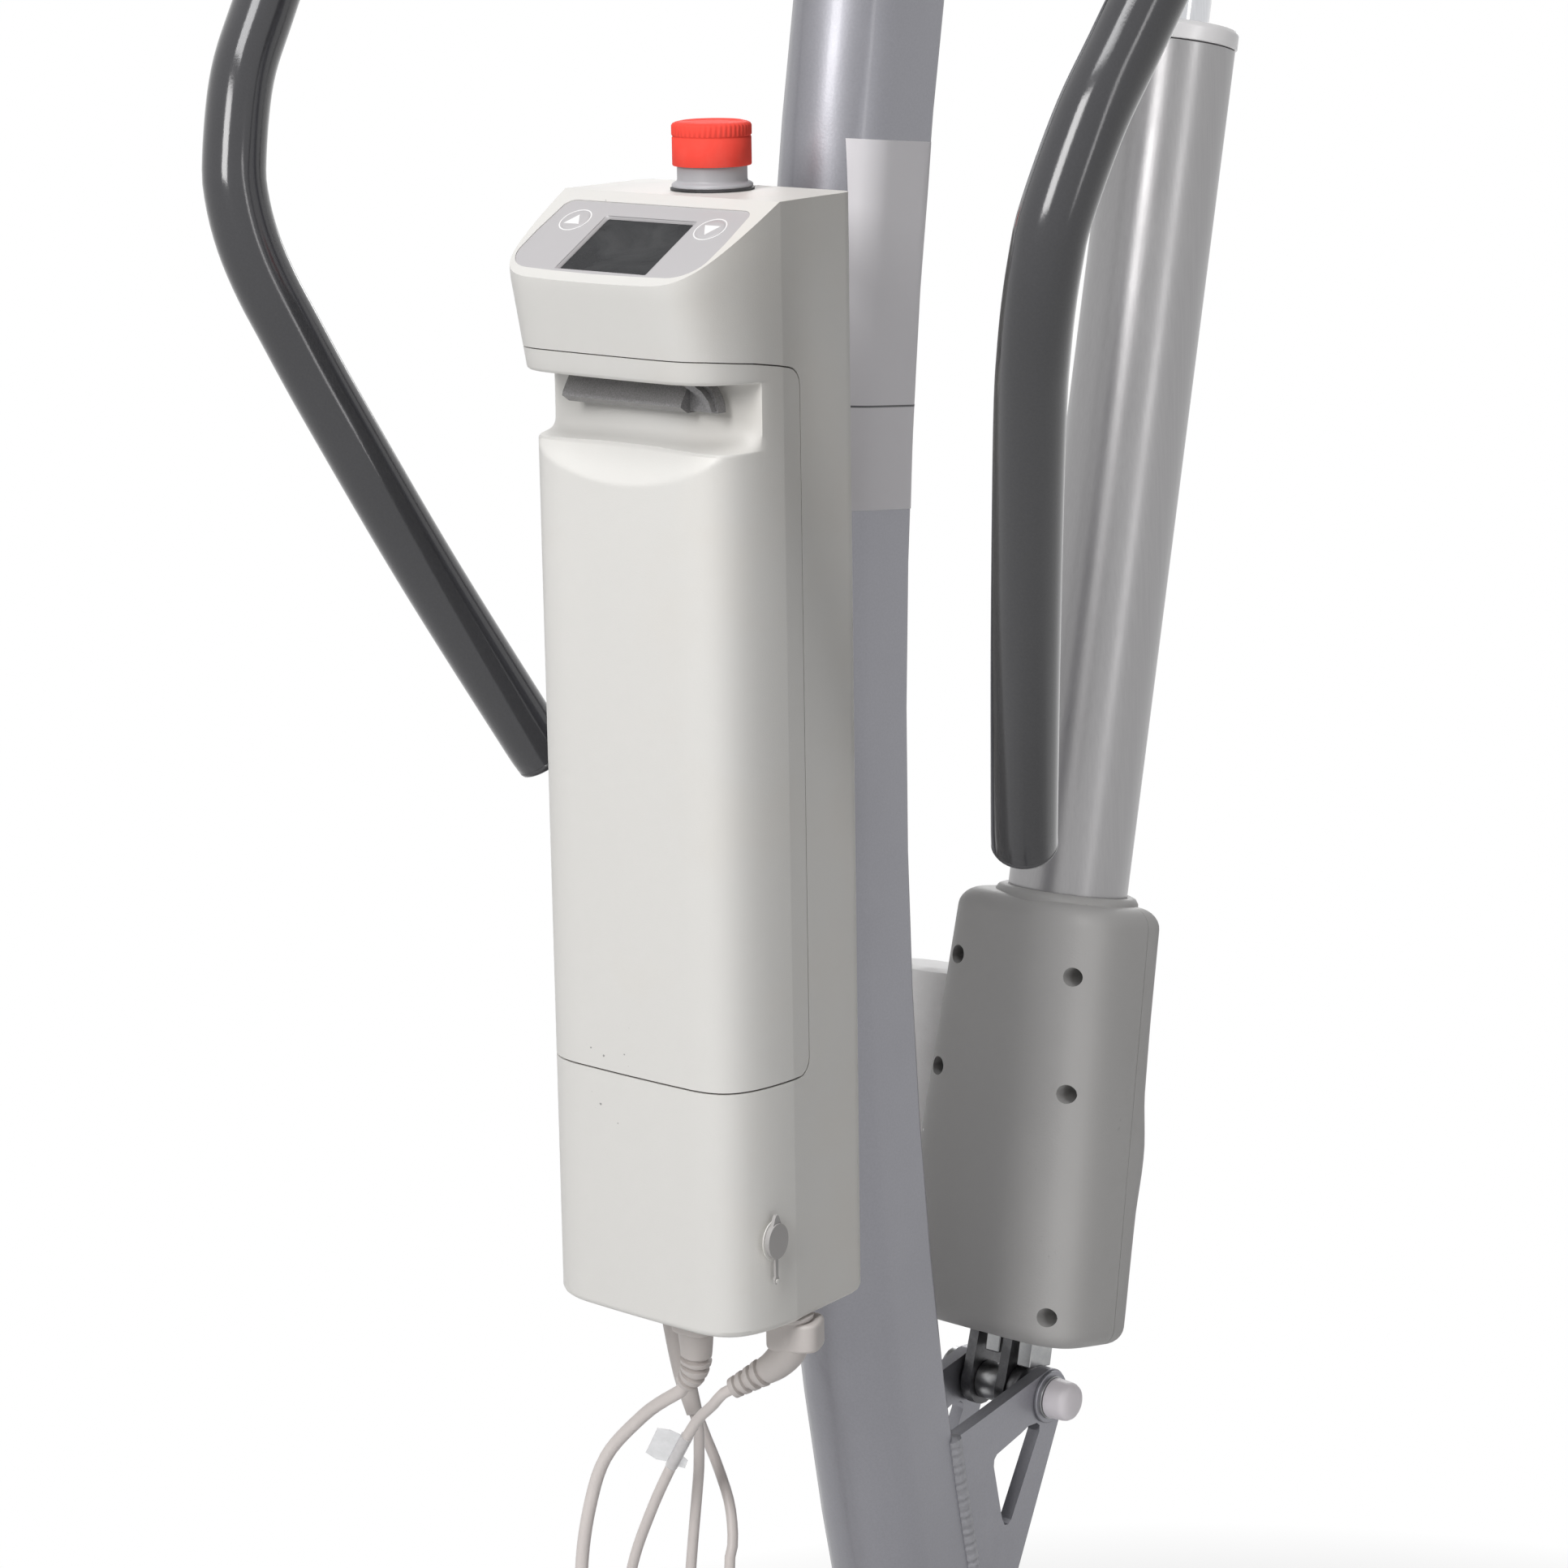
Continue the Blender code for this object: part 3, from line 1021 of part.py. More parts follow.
cable = material("cable_grey", (0.58, 0.55, 0.53), 0.45)
HAND_LEAD = 5.7
THIN_LEAD = 4.7
lead("handset_lead", [past(hand_exit, 0.4), past(hand_exit, 6), (34.2, 16, -50), (33, 28, -60), (30, 46, -81),
                      (27.5, 54, -104), (26, 59, -135), (28, 62, -180), (36, 63, -240),
                      (56, 63, -330), (80, 61, -420), (101, 53, -498), (117, 38, -543),
                      (127, 18, -556), (132.4, 4, -535), (133, 0, -505),
                      (133, 0, HANDSET_TOP - HANDSET_LEN - FIT)], HAND_LEAD, cable)
lead("motor_lead", [past(motor_exit, 0.4), past(motor_exit, 6), (35, -9, -47), (36.2, 1, -57), (38, 16, -80),
                    (40, 31, -107), (43, 45, -137), (47, 56, -175), (54, 60, -215),
                    (62, 50, -248), (67, 31, -258), (68, 14, -234), (66, 9, -190),
                    (66, 9.4, -136), (70, 10.7, -125.6), (75, 16.4, -111.5), (81, 28, -98.5),
                    (87, 40.4, -88.2), (93, 51, -79), (98, 58.5, -65), (101, 62.5, -46),
                    (105, 63, -22), (112, 59.5, -2), (124, 54.5, 10), (142, 51, 10),
                    (166, 50.5, -6), (194, 53, -42), (217, 58, -80), (235, 64.5, -107),
                    (248, 68.5, -114), (256, 70, -104), (260, 70, -85),
                    on_axis(MOTOR_LOW - 8.0 - FIT, MOTOR_Y)], THIN_LEAD, cable)
lead("leg_drive_lead", [past(drive_exit, 0.4), past(drive_exit, 7), (60.4, 20.6, -83), (60.6, 21.5, -96), (61.5, 27.5, -139),
                        (66, 37, -200), (82, 47, -290), (106, 51, -380), (140, 48, -462),
                        (168, 38, -522), (184, 27, -548), (gland[0], 22.5, gland[2] + 14),
                        (gland[0], gland[1], gland[2] + 8.0 + FIT)], THIN_LEAD, cable)
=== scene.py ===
# Looks of the patient lift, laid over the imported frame. Lengths in the helpers are
# millimetres measured from the control box: X forward from its front face, Y left,
# Z up from its underside. spot() turns them into metres over the floor.
import math
import bmesh
import bpy
from mathutils import Matrix, Vector


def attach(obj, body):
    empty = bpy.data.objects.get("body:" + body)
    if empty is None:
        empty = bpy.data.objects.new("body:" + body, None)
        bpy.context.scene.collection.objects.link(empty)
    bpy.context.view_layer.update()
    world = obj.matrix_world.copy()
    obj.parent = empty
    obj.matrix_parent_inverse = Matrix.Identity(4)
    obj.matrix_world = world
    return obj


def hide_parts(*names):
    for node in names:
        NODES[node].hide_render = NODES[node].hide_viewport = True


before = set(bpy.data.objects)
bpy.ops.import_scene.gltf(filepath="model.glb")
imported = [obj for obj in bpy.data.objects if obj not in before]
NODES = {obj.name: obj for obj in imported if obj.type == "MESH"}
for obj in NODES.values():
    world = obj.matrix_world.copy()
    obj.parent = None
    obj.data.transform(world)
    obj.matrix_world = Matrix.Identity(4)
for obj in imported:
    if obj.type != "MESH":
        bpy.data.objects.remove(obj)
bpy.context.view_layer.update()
EX, EY, EZ = Vector((1, 0, 0)), Vector((0, 1, 0)), Vector((0, 0, 1))
SIDES = ((1, "left"), (-1, "right"))


def spot(p):
    return Vector(((p[0] - 502.5) / 1000, p[1] / 1000, (p[2] + 700) / 1000))


def placed(name, data):
    """A new object with this data, linked into the scene."""
    thing = bpy.data.objects.new(name, data)
    bpy.context.collection.objects.link(thing)
    return thing


# Camera at the photograph's place
THETA, PITCH, ROLL = math.radians(39.36), math.radians(13.66), math.radians(-0.89)
ahead = Vector((math.cos(THETA) * math.cos(PITCH), math.sin(THETA) * math.cos(PITCH),
                -math.sin(PITCH)))
level = Vector((math.sin(THETA), -math.cos(THETA), 0))
over = level.cross(ahead)
right = level * math.cos(ROLL) + over * math.sin(ROLL)
up = over * math.cos(ROLL) - level * math.sin(ROLL)
lens = bpy.data.cameras.new("photo_camera")
lens.lens, lens.sensor_width, lens.sensor_fit = 94.10, 36.0, "HORIZONTAL"
lens.clip_start, lens.clip_end = 0.05, 60.0
camera = placed("photo_camera", lens)
camera.matrix_world = Matrix.Translation((-1.68306, -1.05012, 1.30841)) @ Matrix(
    (right, up, -ahead)).transposed().to_4x4()
bpy.context.scene.camera = camera
bpy.context.scene.view_settings.view_transform = "Standard"


# Shader helpers
def lin(v):
    v /= 255.0
    return v / 12.92 if v <= 0.04045 else ((v + 0.055) / 1.055) ** 2.4


def rgb(c, k=1.0):
    return tuple(min(1.0, lin(v) * k) for v in c) + (1.0,)


class Graph:
    """Short ways to add nodes to a finish or to a shared effect and to join them."""
    def __init__(self, tree):
        self.tree, self.nodes = tree, tree.nodes

    def join(self, value, socket):
        if isinstance(value, bpy.types.NodeSocket):
            self.tree.links.new(value, socket)
        else:
            socket.default_value = value

    def add(self, kind, out=0, operation=None, **values):
        node = self.nodes.new("ShaderNode" + kind)
        if operation:
            node.operation = operation
        for key, value in values.items():
            place = int(key[1:]) if key[1:].isdigit() else key.replace("_", " ")
            self.join(value, node.inputs[place])
        return node.outputs[out]

    def math(self, operation, a, b=0.0):
        return self.add("Math", 0, operation, i0=a, i1=b)

    def ramp(self, value, low, high, a=0.0, b=1.0):
        return self.add("MapRange", 0, None, Value=value, From_Min=low, From_Max=high,
                        To_Min=a, To_Max=b)

    def noise(self, scale, detail=3.0, rough=0.55, along=None, warp=0.0):
        place = self.add("TexCoord", "Object")
        if along is not None:
            flow = self.add("CombineXYZ", 0, None, X=1.0, Y=1.0, Z=along)
            place = self.add("VectorMath", 0, "MULTIPLY", i0=place, i1=flow)
        return self.add("TexNoise", 0, None, Vector=place, Scale=scale, Detail=detail,
                        Roughness=rough, Distortion=warp)

    def mix(self, fac, a, b):
        node = self.nodes.new("ShaderNodeMix")
        node.data_type = "RGBA"
        for value, i in ((fac, 0), (a, 6), (b, 7)):
            self.join(value, node.inputs[i])
        return node.outputs[2]

    def lighter(self, tone, value):
        return self.add("HueSaturation", 0, None, Color=tone, Value=value)


def effect(name, takes, gives):
    """A node group with named inputs and outputs, built once for all the finishes."""
    tree = bpy.data.node_groups.new(name, "ShaderNodeTree")
    for label, start in takes.items():
        kind = "NodeSocketColor" if isinstance(start, tuple) else "NodeSocketFloat"
        tree.interface.new_socket(label, in_out="INPUT", socket_type=kind).default_value = start
    for label in gives:
        kind = "NodeSocketColor" if label == "Color" else "NodeSocketFloat"
        tree.interface.new_socket(label, in_out="OUTPUT", socket_type=kind)
    made = Graph(tree)
    made.given = tree.nodes.new("NodeGroupInput").outputs
    made.result = tree.nodes.new("NodeGroupOutput").inputs
    return made


PALE = (0.8, 0.8, 0.8, 1.0)
drift = effect("tone_drift", {"Color": PALE, "Scale": 9.0, "Amount": 0.05}, ["Color"])
cloud = drift.ramp(drift.noise(drift.given["Scale"], 4.0), 0.32, 0.68, -1.0, 1.0)
swing = drift.math("MULTIPLY_ADD", cloud, drift.given["Amount"])
swing.node.inputs[2].default_value = 1.0
drift.join(drift.lighter(drift.given["Color"], swing), drift.result["Color"])

grain = effect("surface_grain", {"Color": PALE, "Scale": 1000.0, "Along": 1.0, "Flake": 0.0},
               ["Color", "Height"])
fine = grain.noise(grain.given["Scale"], 2.0, 0.6, grain.given["Along"])
glint = grain.math("MULTIPLY_ADD", grain.ramp(fine, 0.3, 0.7), grain.given["Flake"])
glint.node.inputs[2].default_value = 1.0
grain.join(grain.lighter(grain.given["Color"], glint), grain.result["Color"])
grain.join(fine, grain.result["Height"])

stain = effect("handling_stain", {"Color": PALE, "Stain": PALE, "Scale": 5.0, "Amount": 0.5},
               ["Color"])
blot = stain.ramp(stain.noise(stain.given["Scale"], 5.0, 0.6), 0.52, 0.78)
stain.join(stain.mix(stain.math("MULTIPLY", blot, stain.given["Amount"]), stain.given["Color"],
                     stain.given["Stain"]), stain.result["Color"])

dust = effect("dust_specks", {"Color": PALE, "Speck": PALE, "Amount": 0.5}, ["Color"])
dots = dust.math("MULTIPLY", dust.ramp(dust.noise(430.0, 0.0), 0.80, 0.84),
                 dust.ramp(dust.noise(15.0, 0.0), 0.71, 0.75))
dust.join(dust.mix(dust.math("MULTIPLY", dots, dust.given["Amount"]), dust.given["Color"],
                   dust.given["Speck"]), dust.result["Color"])

wear = effect("edge_rub", {"Color": PALE, "Rubbed": PALE, "Amount": 0.2}, ["Color"])
proud = wear.ramp(wear.add("NewGeometry", "Pointiness"), 0.515, 0.58)
rub = wear.math("MULTIPLY", proud, wear.ramp(wear.noise(60.0, 5.0, 0.7), 0.45, 0.62))
wear.join(wear.mix(wear.math("MULTIPLY", rub, wear.given["Amount"]), wear.given["Color"],
                   wear.given["Rubbed"]), wear.result["Color"])

gloss = effect("uneven_gloss", {"Scale": 36.0, "Low": 0.3, "High": 0.5}, ["Roughness"])
gloss.join(gloss.ramp(gloss.noise(gloss.given["Scale"], 4.0, 0.6), 0.3, 0.7,
                      gloss.given["Low"], gloss.given["High"]), gloss.result["Roughness"])


class Finish(Graph):
    """A material whose own shader takes its colour, gloss and bump from shared effects."""
    def __init__(self, name, color, slot=None):
        self.mat = bpy.data.materials.new(name)
        self.mat.use_nodes = True
        self.mat.diffuse_color = rgb(color)
        super().__init__(self.mat.node_tree)
        self.shader = self.nodes["Principled BSDF"]
        self.tone = rgb(color)

    def use(self, made, out, **values):
        node = self.nodes.new("ShaderNodeGroup")
        node.node_tree = made.tree
        for key, value in values.items():
            self.join(value, node.inputs[key])
        if "Color" in node.outputs:
            self.tone = node.outputs["Color"]
        return node.outputs[out]

    def bump(self, height, strength, distance):
        self.join(self.add("Bump", 0, None, Strength=strength, Distance=distance, Height=height),
                  self.shader.inputs["Normal"])

    def done(self, **plain):
        self.join(self.tone, self.shader.inputs["Base Color"])
        for key, value in plain.items():
            self.shader.inputs[key.replace("_", " ")].default_value = value
        return self.mat


def mat(name, slot, color, rough, metal=0.0, vary=0.05, patch=9.0, size=0.0009, bump=0.12,
        specks=0.0, scuff=0.0, scuff_color=(210, 208, 204), coat=0.0, along=1.0,
        warm=0.0, flake=0.0, spread=0.05, sheen=0.5):
    f = Finish(name, color, slot)
    f.use(drift, 0, Color=f.tone, Scale=patch, Amount=vary)
    if warm:
        f.use(stain, 0, Color=f.tone, Scale=patch * 0.6, Amount=warm,
              Stain=rgb((color[0] * 0.99, color[1] * 0.955, color[2] * 0.91)))
    height = f.use(grain, "Height", Color=f.tone, Scale=1 / size, Along=along, Flake=flake)
    if specks:
        f.use(dust, 0, Color=f.tone, Speck=rgb(color, 0.3), Amount=specks)
    if scuff:
        f.use(wear, 0, Color=f.tone, Rubbed=rgb(scuff_color), Amount=scuff)
    f.join(f.use(gloss, 0, Scale=patch * 4, Low=rough - spread, High=rough + spread),
           f.shader.inputs["Roughness"])
    f.bump(height, bump, size * 0.35)
    return f.done(Metallic=metal, Coat_Weight=coat, Coat_Roughness=0.12,
                  Specular_IOR_Level=sheen)


# Finishes: name, slot, colour, roughness, metal, cloudiness and its scale, grain size, bump
SILVER = mat("silver_coat", "silver_coat", (140, 140, 146), 0.43, 0.75, 0.03, 5.0, 0.0011, 0.10,
             flake=0.07, scuff=0.25, scuff_color=(190, 190, 196), coat=0.35)
ZINC = mat("zinc_steel", "zinc", (158, 159, 160), 0.33, 0.9, 0.12, 30.0, 0.0006, 0.12, flake=0.1,
           scuff=0.3)
DARK = mat("handle_coat", "dark_steel", (58, 58, 61), 0.14, 0.1, 0.05, 14.0, 0.0010, 0.05,
           flake=0.10, scuff=0.15, scuff_color=(110, 110, 114), coat=0.2, spread=0.025)
SHELL = mat("box_plastic", "white_plastic", (226, 225, 222), 0.52, 0.0, 0.010, 7.0, 0.0006, 0.22,
            specks=0.8, warm=0.5, scuff=0.12, scuff_color=(238, 236, 233))
HOUSE = mat("actuator_plastic", "grey_plastic", (190, 189, 188), 0.5, 0.0, 0.03, 12.0, 0.0010,
            0.30, scuff=0.25, scuff_color=(176, 175, 172), specks=0.3)
MOTOR = mat("motor_plastic", "light_grey", (244, 243, 243), 0.5, 0.0, 0.03, 12.0, 0.0010, 0.25,
            scuff=0.2)
GREY = mat("plug_plastic", "grey_plastic", (206, 200, 197), 0.48, 0.0, 0.04, 25.0, 0.0005, 0.15,
           scuff=0.15, scuff_color=(220, 216, 213))
BLACK = mat("black_plastic", "black_plastic", (38, 38, 40), 0.48, 0.0, 0.1, 20.0, 0.0008, 0.25,
            scuff=0.3, scuff_color=(86, 86, 88))
MID = mat("collar_plastic", "mid_grey", (174, 174, 178), 0.42, 0.0, 0.03, 25.0, 0.0006, 0.15)
LATCH = mat("latch_plastic", "mid_grey", (118, 117, 118), 0.34, 0.3, 0.04, 40.0, 0.0006, 0.12,
            flake=0.55, coat=0.25)
BUNG = mat("bung_rubber", "grey_plastic", (176, 174, 173), 0.55, 0.0, 0.03, 40.0, 0.0006, 0.12)
FILM = mat("membrane_film", "membrane", (190, 188, 190), 0.36, 0.0, 0.012, 14.0, 0.0004, 0.10)
PRINT = mat("white_print", "membrane", (246, 246, 246), 0.4, 0.0, 0.01, 14.0, 0.0004, 0.08)
RED = mat("stop_red", "stop_red", (252, 84, 72), 0.6, 0.0, 0.03, 30.0, 0.0008, 0.12, scuff=0.2,
          scuff_color=(254, 140, 128), sheen=0.06)
MILK = mat("milky_cap", "white_plastic", (252, 247, 252), 0.40, 0.0, 0.02, 60.0, 0.0006, 0.10)
BOARD = mat("board_green", "board_green", (44, 106, 62), 0.45, 0.0, 0.1, 90.0, 0.0006, 0.2)
TYRE = mat("tyre_rubber", "tyre", (96, 98, 102), 0.55, 0.0, 0.08, 30.0, 0.0008, 0.3, scuff=0.3,
           scuff_color=(130, 130, 132))
HUB = mat("hub_plastic", "black_plastic", (60, 62, 66), 0.45, 0.0, 0.05, 30.0, 0.0008, 0.2,
          scuff=0.2, scuff_color=(100, 100, 104))
CABLE = mat("cable_sheath", "cable_grey", (222, 215, 212), 0.42, 0.0, 0.03, 40.0, 0.0006, 0.12)
STICKER = mat("blank_label", "membrane", (236, 234, 238), 0.34, 0.0, 0.012, 16.0, 0.0004, 0.05)
RULE = mat("label_rule", "black_plastic", (88, 88, 92), 0.4, 0.0, 0.03, 30.0, 0.0004, 0.05)
# Painted shade: a dark finish for sheets set into seams and gaps where they fall dark
SEAM_SHADE = mat("seam_shadow", "mid_grey", (84, 80, 77), 0.7, 0.0, 0.05, 30.0, 0.0006, 0.1)
WELD = mat("weld_bead", "silver_coat", (152, 152, 157), 0.42, 0.45, 0.05, 60.0, 0.0016, 0.5,
           flake=0.08)
ALU = mat("satin_aluminium", "satin_aluminium", (154, 153, 154), 0.34, 0.86, 0.02, 6.0, 0.0011,
          0.06, along=0.012, flake=0.06, spread=0.03)
CAP = mat("cap_ring", "satin_aluminium", (250, 249, 250), 0.32, 0.15, 0.02, 20.0, 0.0008, 0.08)
FORK = mat("fork_steel", "zinc", (92, 92, 94), 0.36, 0.6, 0.08, 40.0, 0.0008, 0.2, scuff=0.4,
           scuff_color=(140, 140, 142))
CHROME = mat("hard_chrome", "chrome", (200, 201, 204), 0.10, 1.0, 0.03, 20.0, 0.002, 0.03,
             along=0.03, flake=0.1, spread=0.04)


def glass_screen():
    f = Finish("display_glass", (24, 25, 28), "screen")
    # Smears on the glass, rougher there and painted lighter: partly a real smudge, partly a
    # painted reflection
    smear_and_glare = f.noise(30.0, 5.0, 0.65, 3.0, 0.6)
    f.tone = f.mix(f.ramp(smear_and_glare, 0.42, 0.72, 0.0, 0.6), f.tone, rgb((70, 71, 72)))
    height = f.use(grain, "Height", Color=f.tone, Scale=1500.0, Flake=0.25)
    f.join(f.ramp(smear_and_glare, 0.3, 0.7, 0.2, 0.4), f.shader.inputs["Roughness"])
    f.bump(height, 0.05, 0.0002)
    return f.done(Coat_Weight=0.1, Coat_Roughness=0.1, Specular_IOR_Level=0.15)


def clear_film():
    f = Finish("clear_film", (236, 237, 240), "membrane")
    f.use(drift, 0, Color=f.tone, Scale=140.0, Amount=0.06)
    height = f.use(grain, "Height", Color=f.tone, Scale=260.0, Flake=0.1)
    f.join(f.use(gloss, 0, Scale=200.0, Low=0.08, High=0.26), f.shader.inputs["Roughness"])
    f.bump(height, 0.5, 0.0008)
    return f.done(Alpha=0.5, Coat_Weight=0.8)


SCREEN, CLEAR = glass_screen(), clear_film()


def seen_straight(g):
    """One where a ray comes from the camera, a gloss or a glass, and nought for light."""
    path = g.nodes.new("ShaderNodeLightPath").outputs
    return g.math("MAXIMUM", g.math("MAXIMUM", path["Is Camera Ray"], path["Is Glossy Ray"]),
                  path["Is Transmission Ray"])


# Studio: white all round for the camera and for reflections, softer for the light
world = bpy.data.worlds.new("studio")
bpy.context.scene.world = world
world.use_nodes = True
sky = Graph(world.node_tree)
soft = sky.nodes["Background"]
soft.inputs["Color"].default_value = (1.0, 0.985, 0.98, 1.0)
soft.inputs["Strength"].default_value = 0.07
white = sky.add("Background", 0, None, Color=(1.0, 1.0, 1.0, 1.0), Strength=1.0)
both = sky.nodes.new("ShaderNodeMixShader")
for value, i in ((seen_straight(sky), 0), (soft.outputs[0], 1), (white, 2)):
    sky.join(value, both.inputs[i])
sky.join(both.outputs[0], sky.nodes["World Output"].inputs["Surface"])


def lamp(name, place, target, size, power, color=(1.0, 1.0, 1.0)):
    light = bpy.data.lights.new(name, "AREA")
    light.shape = "RECTANGLE"
    light.size, light.size_y = size
    light.energy = power
    light.color = color
    thing = placed(name, light)
    thing.location = place
    thing.rotation_euler = (Vector(target) - Vector(place)).to_track_quat("-Z", "Y").to_euler()
    thing.visible_camera = False


lamp("key_light", (-3.08, -0.28, 2.6), (-0.35, 0.0, 0.9), (1.0, 1.6), 60.0, (1.0, 0.99, 0.98))
lamp("side_light", (-1.05, -2.9, 1.8), (-0.3, 0.0, 0.9), (0.3, 1.8), 7.5, (1.0, 0.99, 0.985))
lamp("back_light", (2.4, 1.6, 2.2), (-0.2, 0.0, 0.9), (1.2, 2.0), 26.0)
lamp("top_light", (-1.5, -0.2, 3.5), (-0.35, 0.0, 1.1), (1.1, 1.1), 34.0)

# Pale floor that fades into the white round it
floor_mesh = bpy.data.meshes.new("studio_floor")
ring = [(3.4 * math.cos(math.pi * i / 36), 3.4 * math.sin(math.pi * i / 36), -0.0005)
        for i in range(72)]
floor_mesh.from_pydata(ring, [], [list(range(72))])
floor = placed("studio_floor", floor_mesh)
ground = Finish("studio_floor", (246, 246, 246))
ground.done(Roughness=0.7)
span = ground.add("VectorMath", "Value", "LENGTH", i0=ground.add("TexCoord", "Object"))
fade = ground.math("MULTIPLY", ground.ramp(span, 0.62, 0.98), seen_straight(ground))
blend = ground.nodes.new("ShaderNodeMixShader")
for value, i in ((fade, 0), (ground.shader.outputs[0], 1), (ground.add("Emission"), 2)):
    ground.join(value, blend.inputs[i])
ground.join(blend.outputs[0], ground.nodes["Material Output"].inputs["Surface"])
floor.data.materials.append(ground.mat)


# Mesh helpers
def solid(name, verts, faces, paint, body=None, bevel=0.0, angle=32.0, place=spot, steps=2,
          stand_for=(), smooth=True):
    mesh = bpy.data.meshes.new(name)
    mesh.from_pydata([place(v) for v in verts], [], faces)
    work = bmesh.new()
    work.from_mesh(mesh)
    bmesh.ops.remove_doubles(work, verts=work.verts, dist=1e-6)
    bmesh.ops.recalc_face_normals(work, faces=work.faces)
    work.to_mesh(mesh)
    work.free()
    return dress(placed(name, mesh), paint, body, bevel, angle, steps, stand_for, smooth)


def soften(thing, width, steps, angle, sharp=True):
    """Rounded edges; sharp keeps creases crisp and rounds the corners in arcs."""
    edge = thing.modifiers.new("edge", "BEVEL")
    edge.width, edge.segments = width / 1000, steps
    edge.limit_method, edge.angle_limit = "ANGLE", math.radians(angle)
    edge.use_clamp_overlap = True
    if sharp:
        edge.miter_outer = "MITER_ARC"
    flat = thing.modifiers.new("flat", "WEIGHTED_NORMAL")
    flat.keep_sharp, flat.weight = sharp, 80


def dress(thing, paint, body=None, bevel=0.0, angle=32.0, steps=2, stand_for=(), smooth=True):
    mesh = thing.data
    mesh.materials.clear()
    mesh.materials.append(paint)
    for face in mesh.polygons:
        face.use_smooth = smooth
        face.material_index = 0
    if bevel:
        soften(thing, bevel, steps, angle)
    elif smooth:
        split = thing.modifiers.new("split", "EDGE_SPLIT")
        split.split_angle = math.radians(angle)
    if body:
        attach(thing, body)
    if stand_for:
        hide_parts(*stand_for)
    return thing


def shell_of(rings, caps=True):
    n = len(rings[0])
    faces = [list(range(n))[::-1]] if caps else []
    for i in range(len(rings) - 1):
        for j in range(n):
            k = (j + 1) % n
            faces.append([i * n + j, i * n + k, (i + 1) * n + k, (i + 1) * n + j])
    if caps:
        faces.append([(len(rings) - 1) * n + j for j in range(n)])
    return [p for ring in rings for p in ring], faces


def loft(name, rings, paint, body=None, **more):
    verts, faces = shell_of(rings)
    return solid(name, verts, faces, paint, body, **more)


def slab(name, origin, a, b, c, outline, low, high, paint, body=None, **more):
    """An outline drawn along a and b, and thick from low to high along c."""
    origin = Vector(origin)
    rings = [[origin + a * p[0] + b * p[1] + c * h for p in outline] for h in (low, high)]
    return loft(name, rings, paint, body, **more)


def prism(name, outline, axis, low, high, paint, body=None, **more):
    a, b, c = {"X": (EY, EZ, EX), "Y": (EX, EZ, EY), "Z": (EX, EY, EZ)}[axis]
    return slab(name, (0, 0, 0), a, b, c, outline, low, high, paint, body, **more)


def across(d):
    """Two directions at right angles to this one and to each other."""
    d = Vector(d).normalized()
    side = d.cross(EY)
    if side.length < 0.2:
        side = d.cross(EX)
    side.normalize()
    return side, d.cross(side)


def around(side, other, count):
    turns = [2 * math.pi * i / count for i in range(count)]
    return [side * math.cos(a) + other * math.sin(a) for a in turns]


def turned(name, profile, base, axis, paint, body=None, count=40, wave=0.0, waves=0, **more):
    """A profile of (radius, distance along the axis) turned round it; a third item ribs it."""
    base, axis = Vector(base), Vector(axis).normalized()
    side, other = across(axis)
    rings = []
    for item in profile:
        ring = []
        for i, spoke in enumerate(around(side, other, count)):
            ribs = wave * math.cos(waves * 2 * math.pi * i / count) if len(item) > 2 else 0.0
            ring.append(base + axis * item[1] + spoke * (item[0] + ribs))
        rings.append(ring)
    return loft(name, rings, paint, body, **more)


def tube_rings(points, radius, count):
    points = [Vector(p) for p in points]
    rings, side = [], None
    for i, point in enumerate(points):
        d = (points[min(i + 1, len(points) - 1)] - points[max(i - 1, 0)]).normalized()
        side = across(d)[0] if side is None else (side - d * side.dot(d)).normalized()
        other = d.cross(side)
        r = radius[i] if isinstance(radius, (list, tuple)) else radius
        rings.append([point + spoke * r for spoke in around(side, other, count)])
    return rings


def swept(name, points, radius, count, paint, body=None, **more):
    return loft(name, tube_rings(points, radius, count), paint, body, **more)


def arc(centre, radius, start, stop, count):
    turns = [math.radians(start + (stop - start) * i / count) for i in range(count + 1)]
    return [(centre[0] + radius * math.cos(a), centre[1] + radius * math.sin(a)) for a in turns]


def oblong(a0, a1, b0, b1):
    return [(a0, b0), (a1, b0), (a1, b1), (a0, b1)]


def rounded(a0, a1, b0, b1, r, count):
    """An oblong with round corners."""
    corners = ((a1 - r, b1 - r), (a0 + r, b1 - r), (a0 + r, b0 + r), (a1 - r, b0 + r))
    return [p for n, middle in enumerate(corners)
            for p in arc(middle, r, 90 * n, 90 * n + 90, count)]


def hexagon(size, turn=0.0):
    return [(size * math.cos(math.radians(60 * i + turn)),
             size * math.sin(math.radians(60 * i + turn))) for i in range(6)]


def shape_of(thing):
    """The mesh of a piece with its modifiers applied."""
    graph = bpy.context.evaluated_depsgraph_get()
    return bpy.data.meshes.new_from_object(thing.evaluated_get(graph))


def cut(thing, *tools, kind="DIFFERENCE"):
    for m in list(thing.modifiers):
        m.show_viewport = False
    for tool in tools:
        for m in tool.modifiers:
            m.show_viewport = False
        step = thing.modifiers.new("cut", "BOOLEAN")
        step.operation, step.solver, step.object = kind, "EXACT", tool
    done = shape_of(thing)
    for m in [m for m in thing.modifiers if m.name.startswith("cut")]:
        thing.modifiers.remove(m)
    for m in thing.modifiers:
        m.show_viewport = True
    old, thing.data = thing.data, done
    bpy.data.meshes.remove(old)
    for tool in tools:
        bpy.data.objects.remove(tool, do_unlink=True)
    for face in done.polygons:
        face.use_smooth, face.material_index = True, 0
    while len(done.materials) > 1:
        done.materials.pop()
    return thing


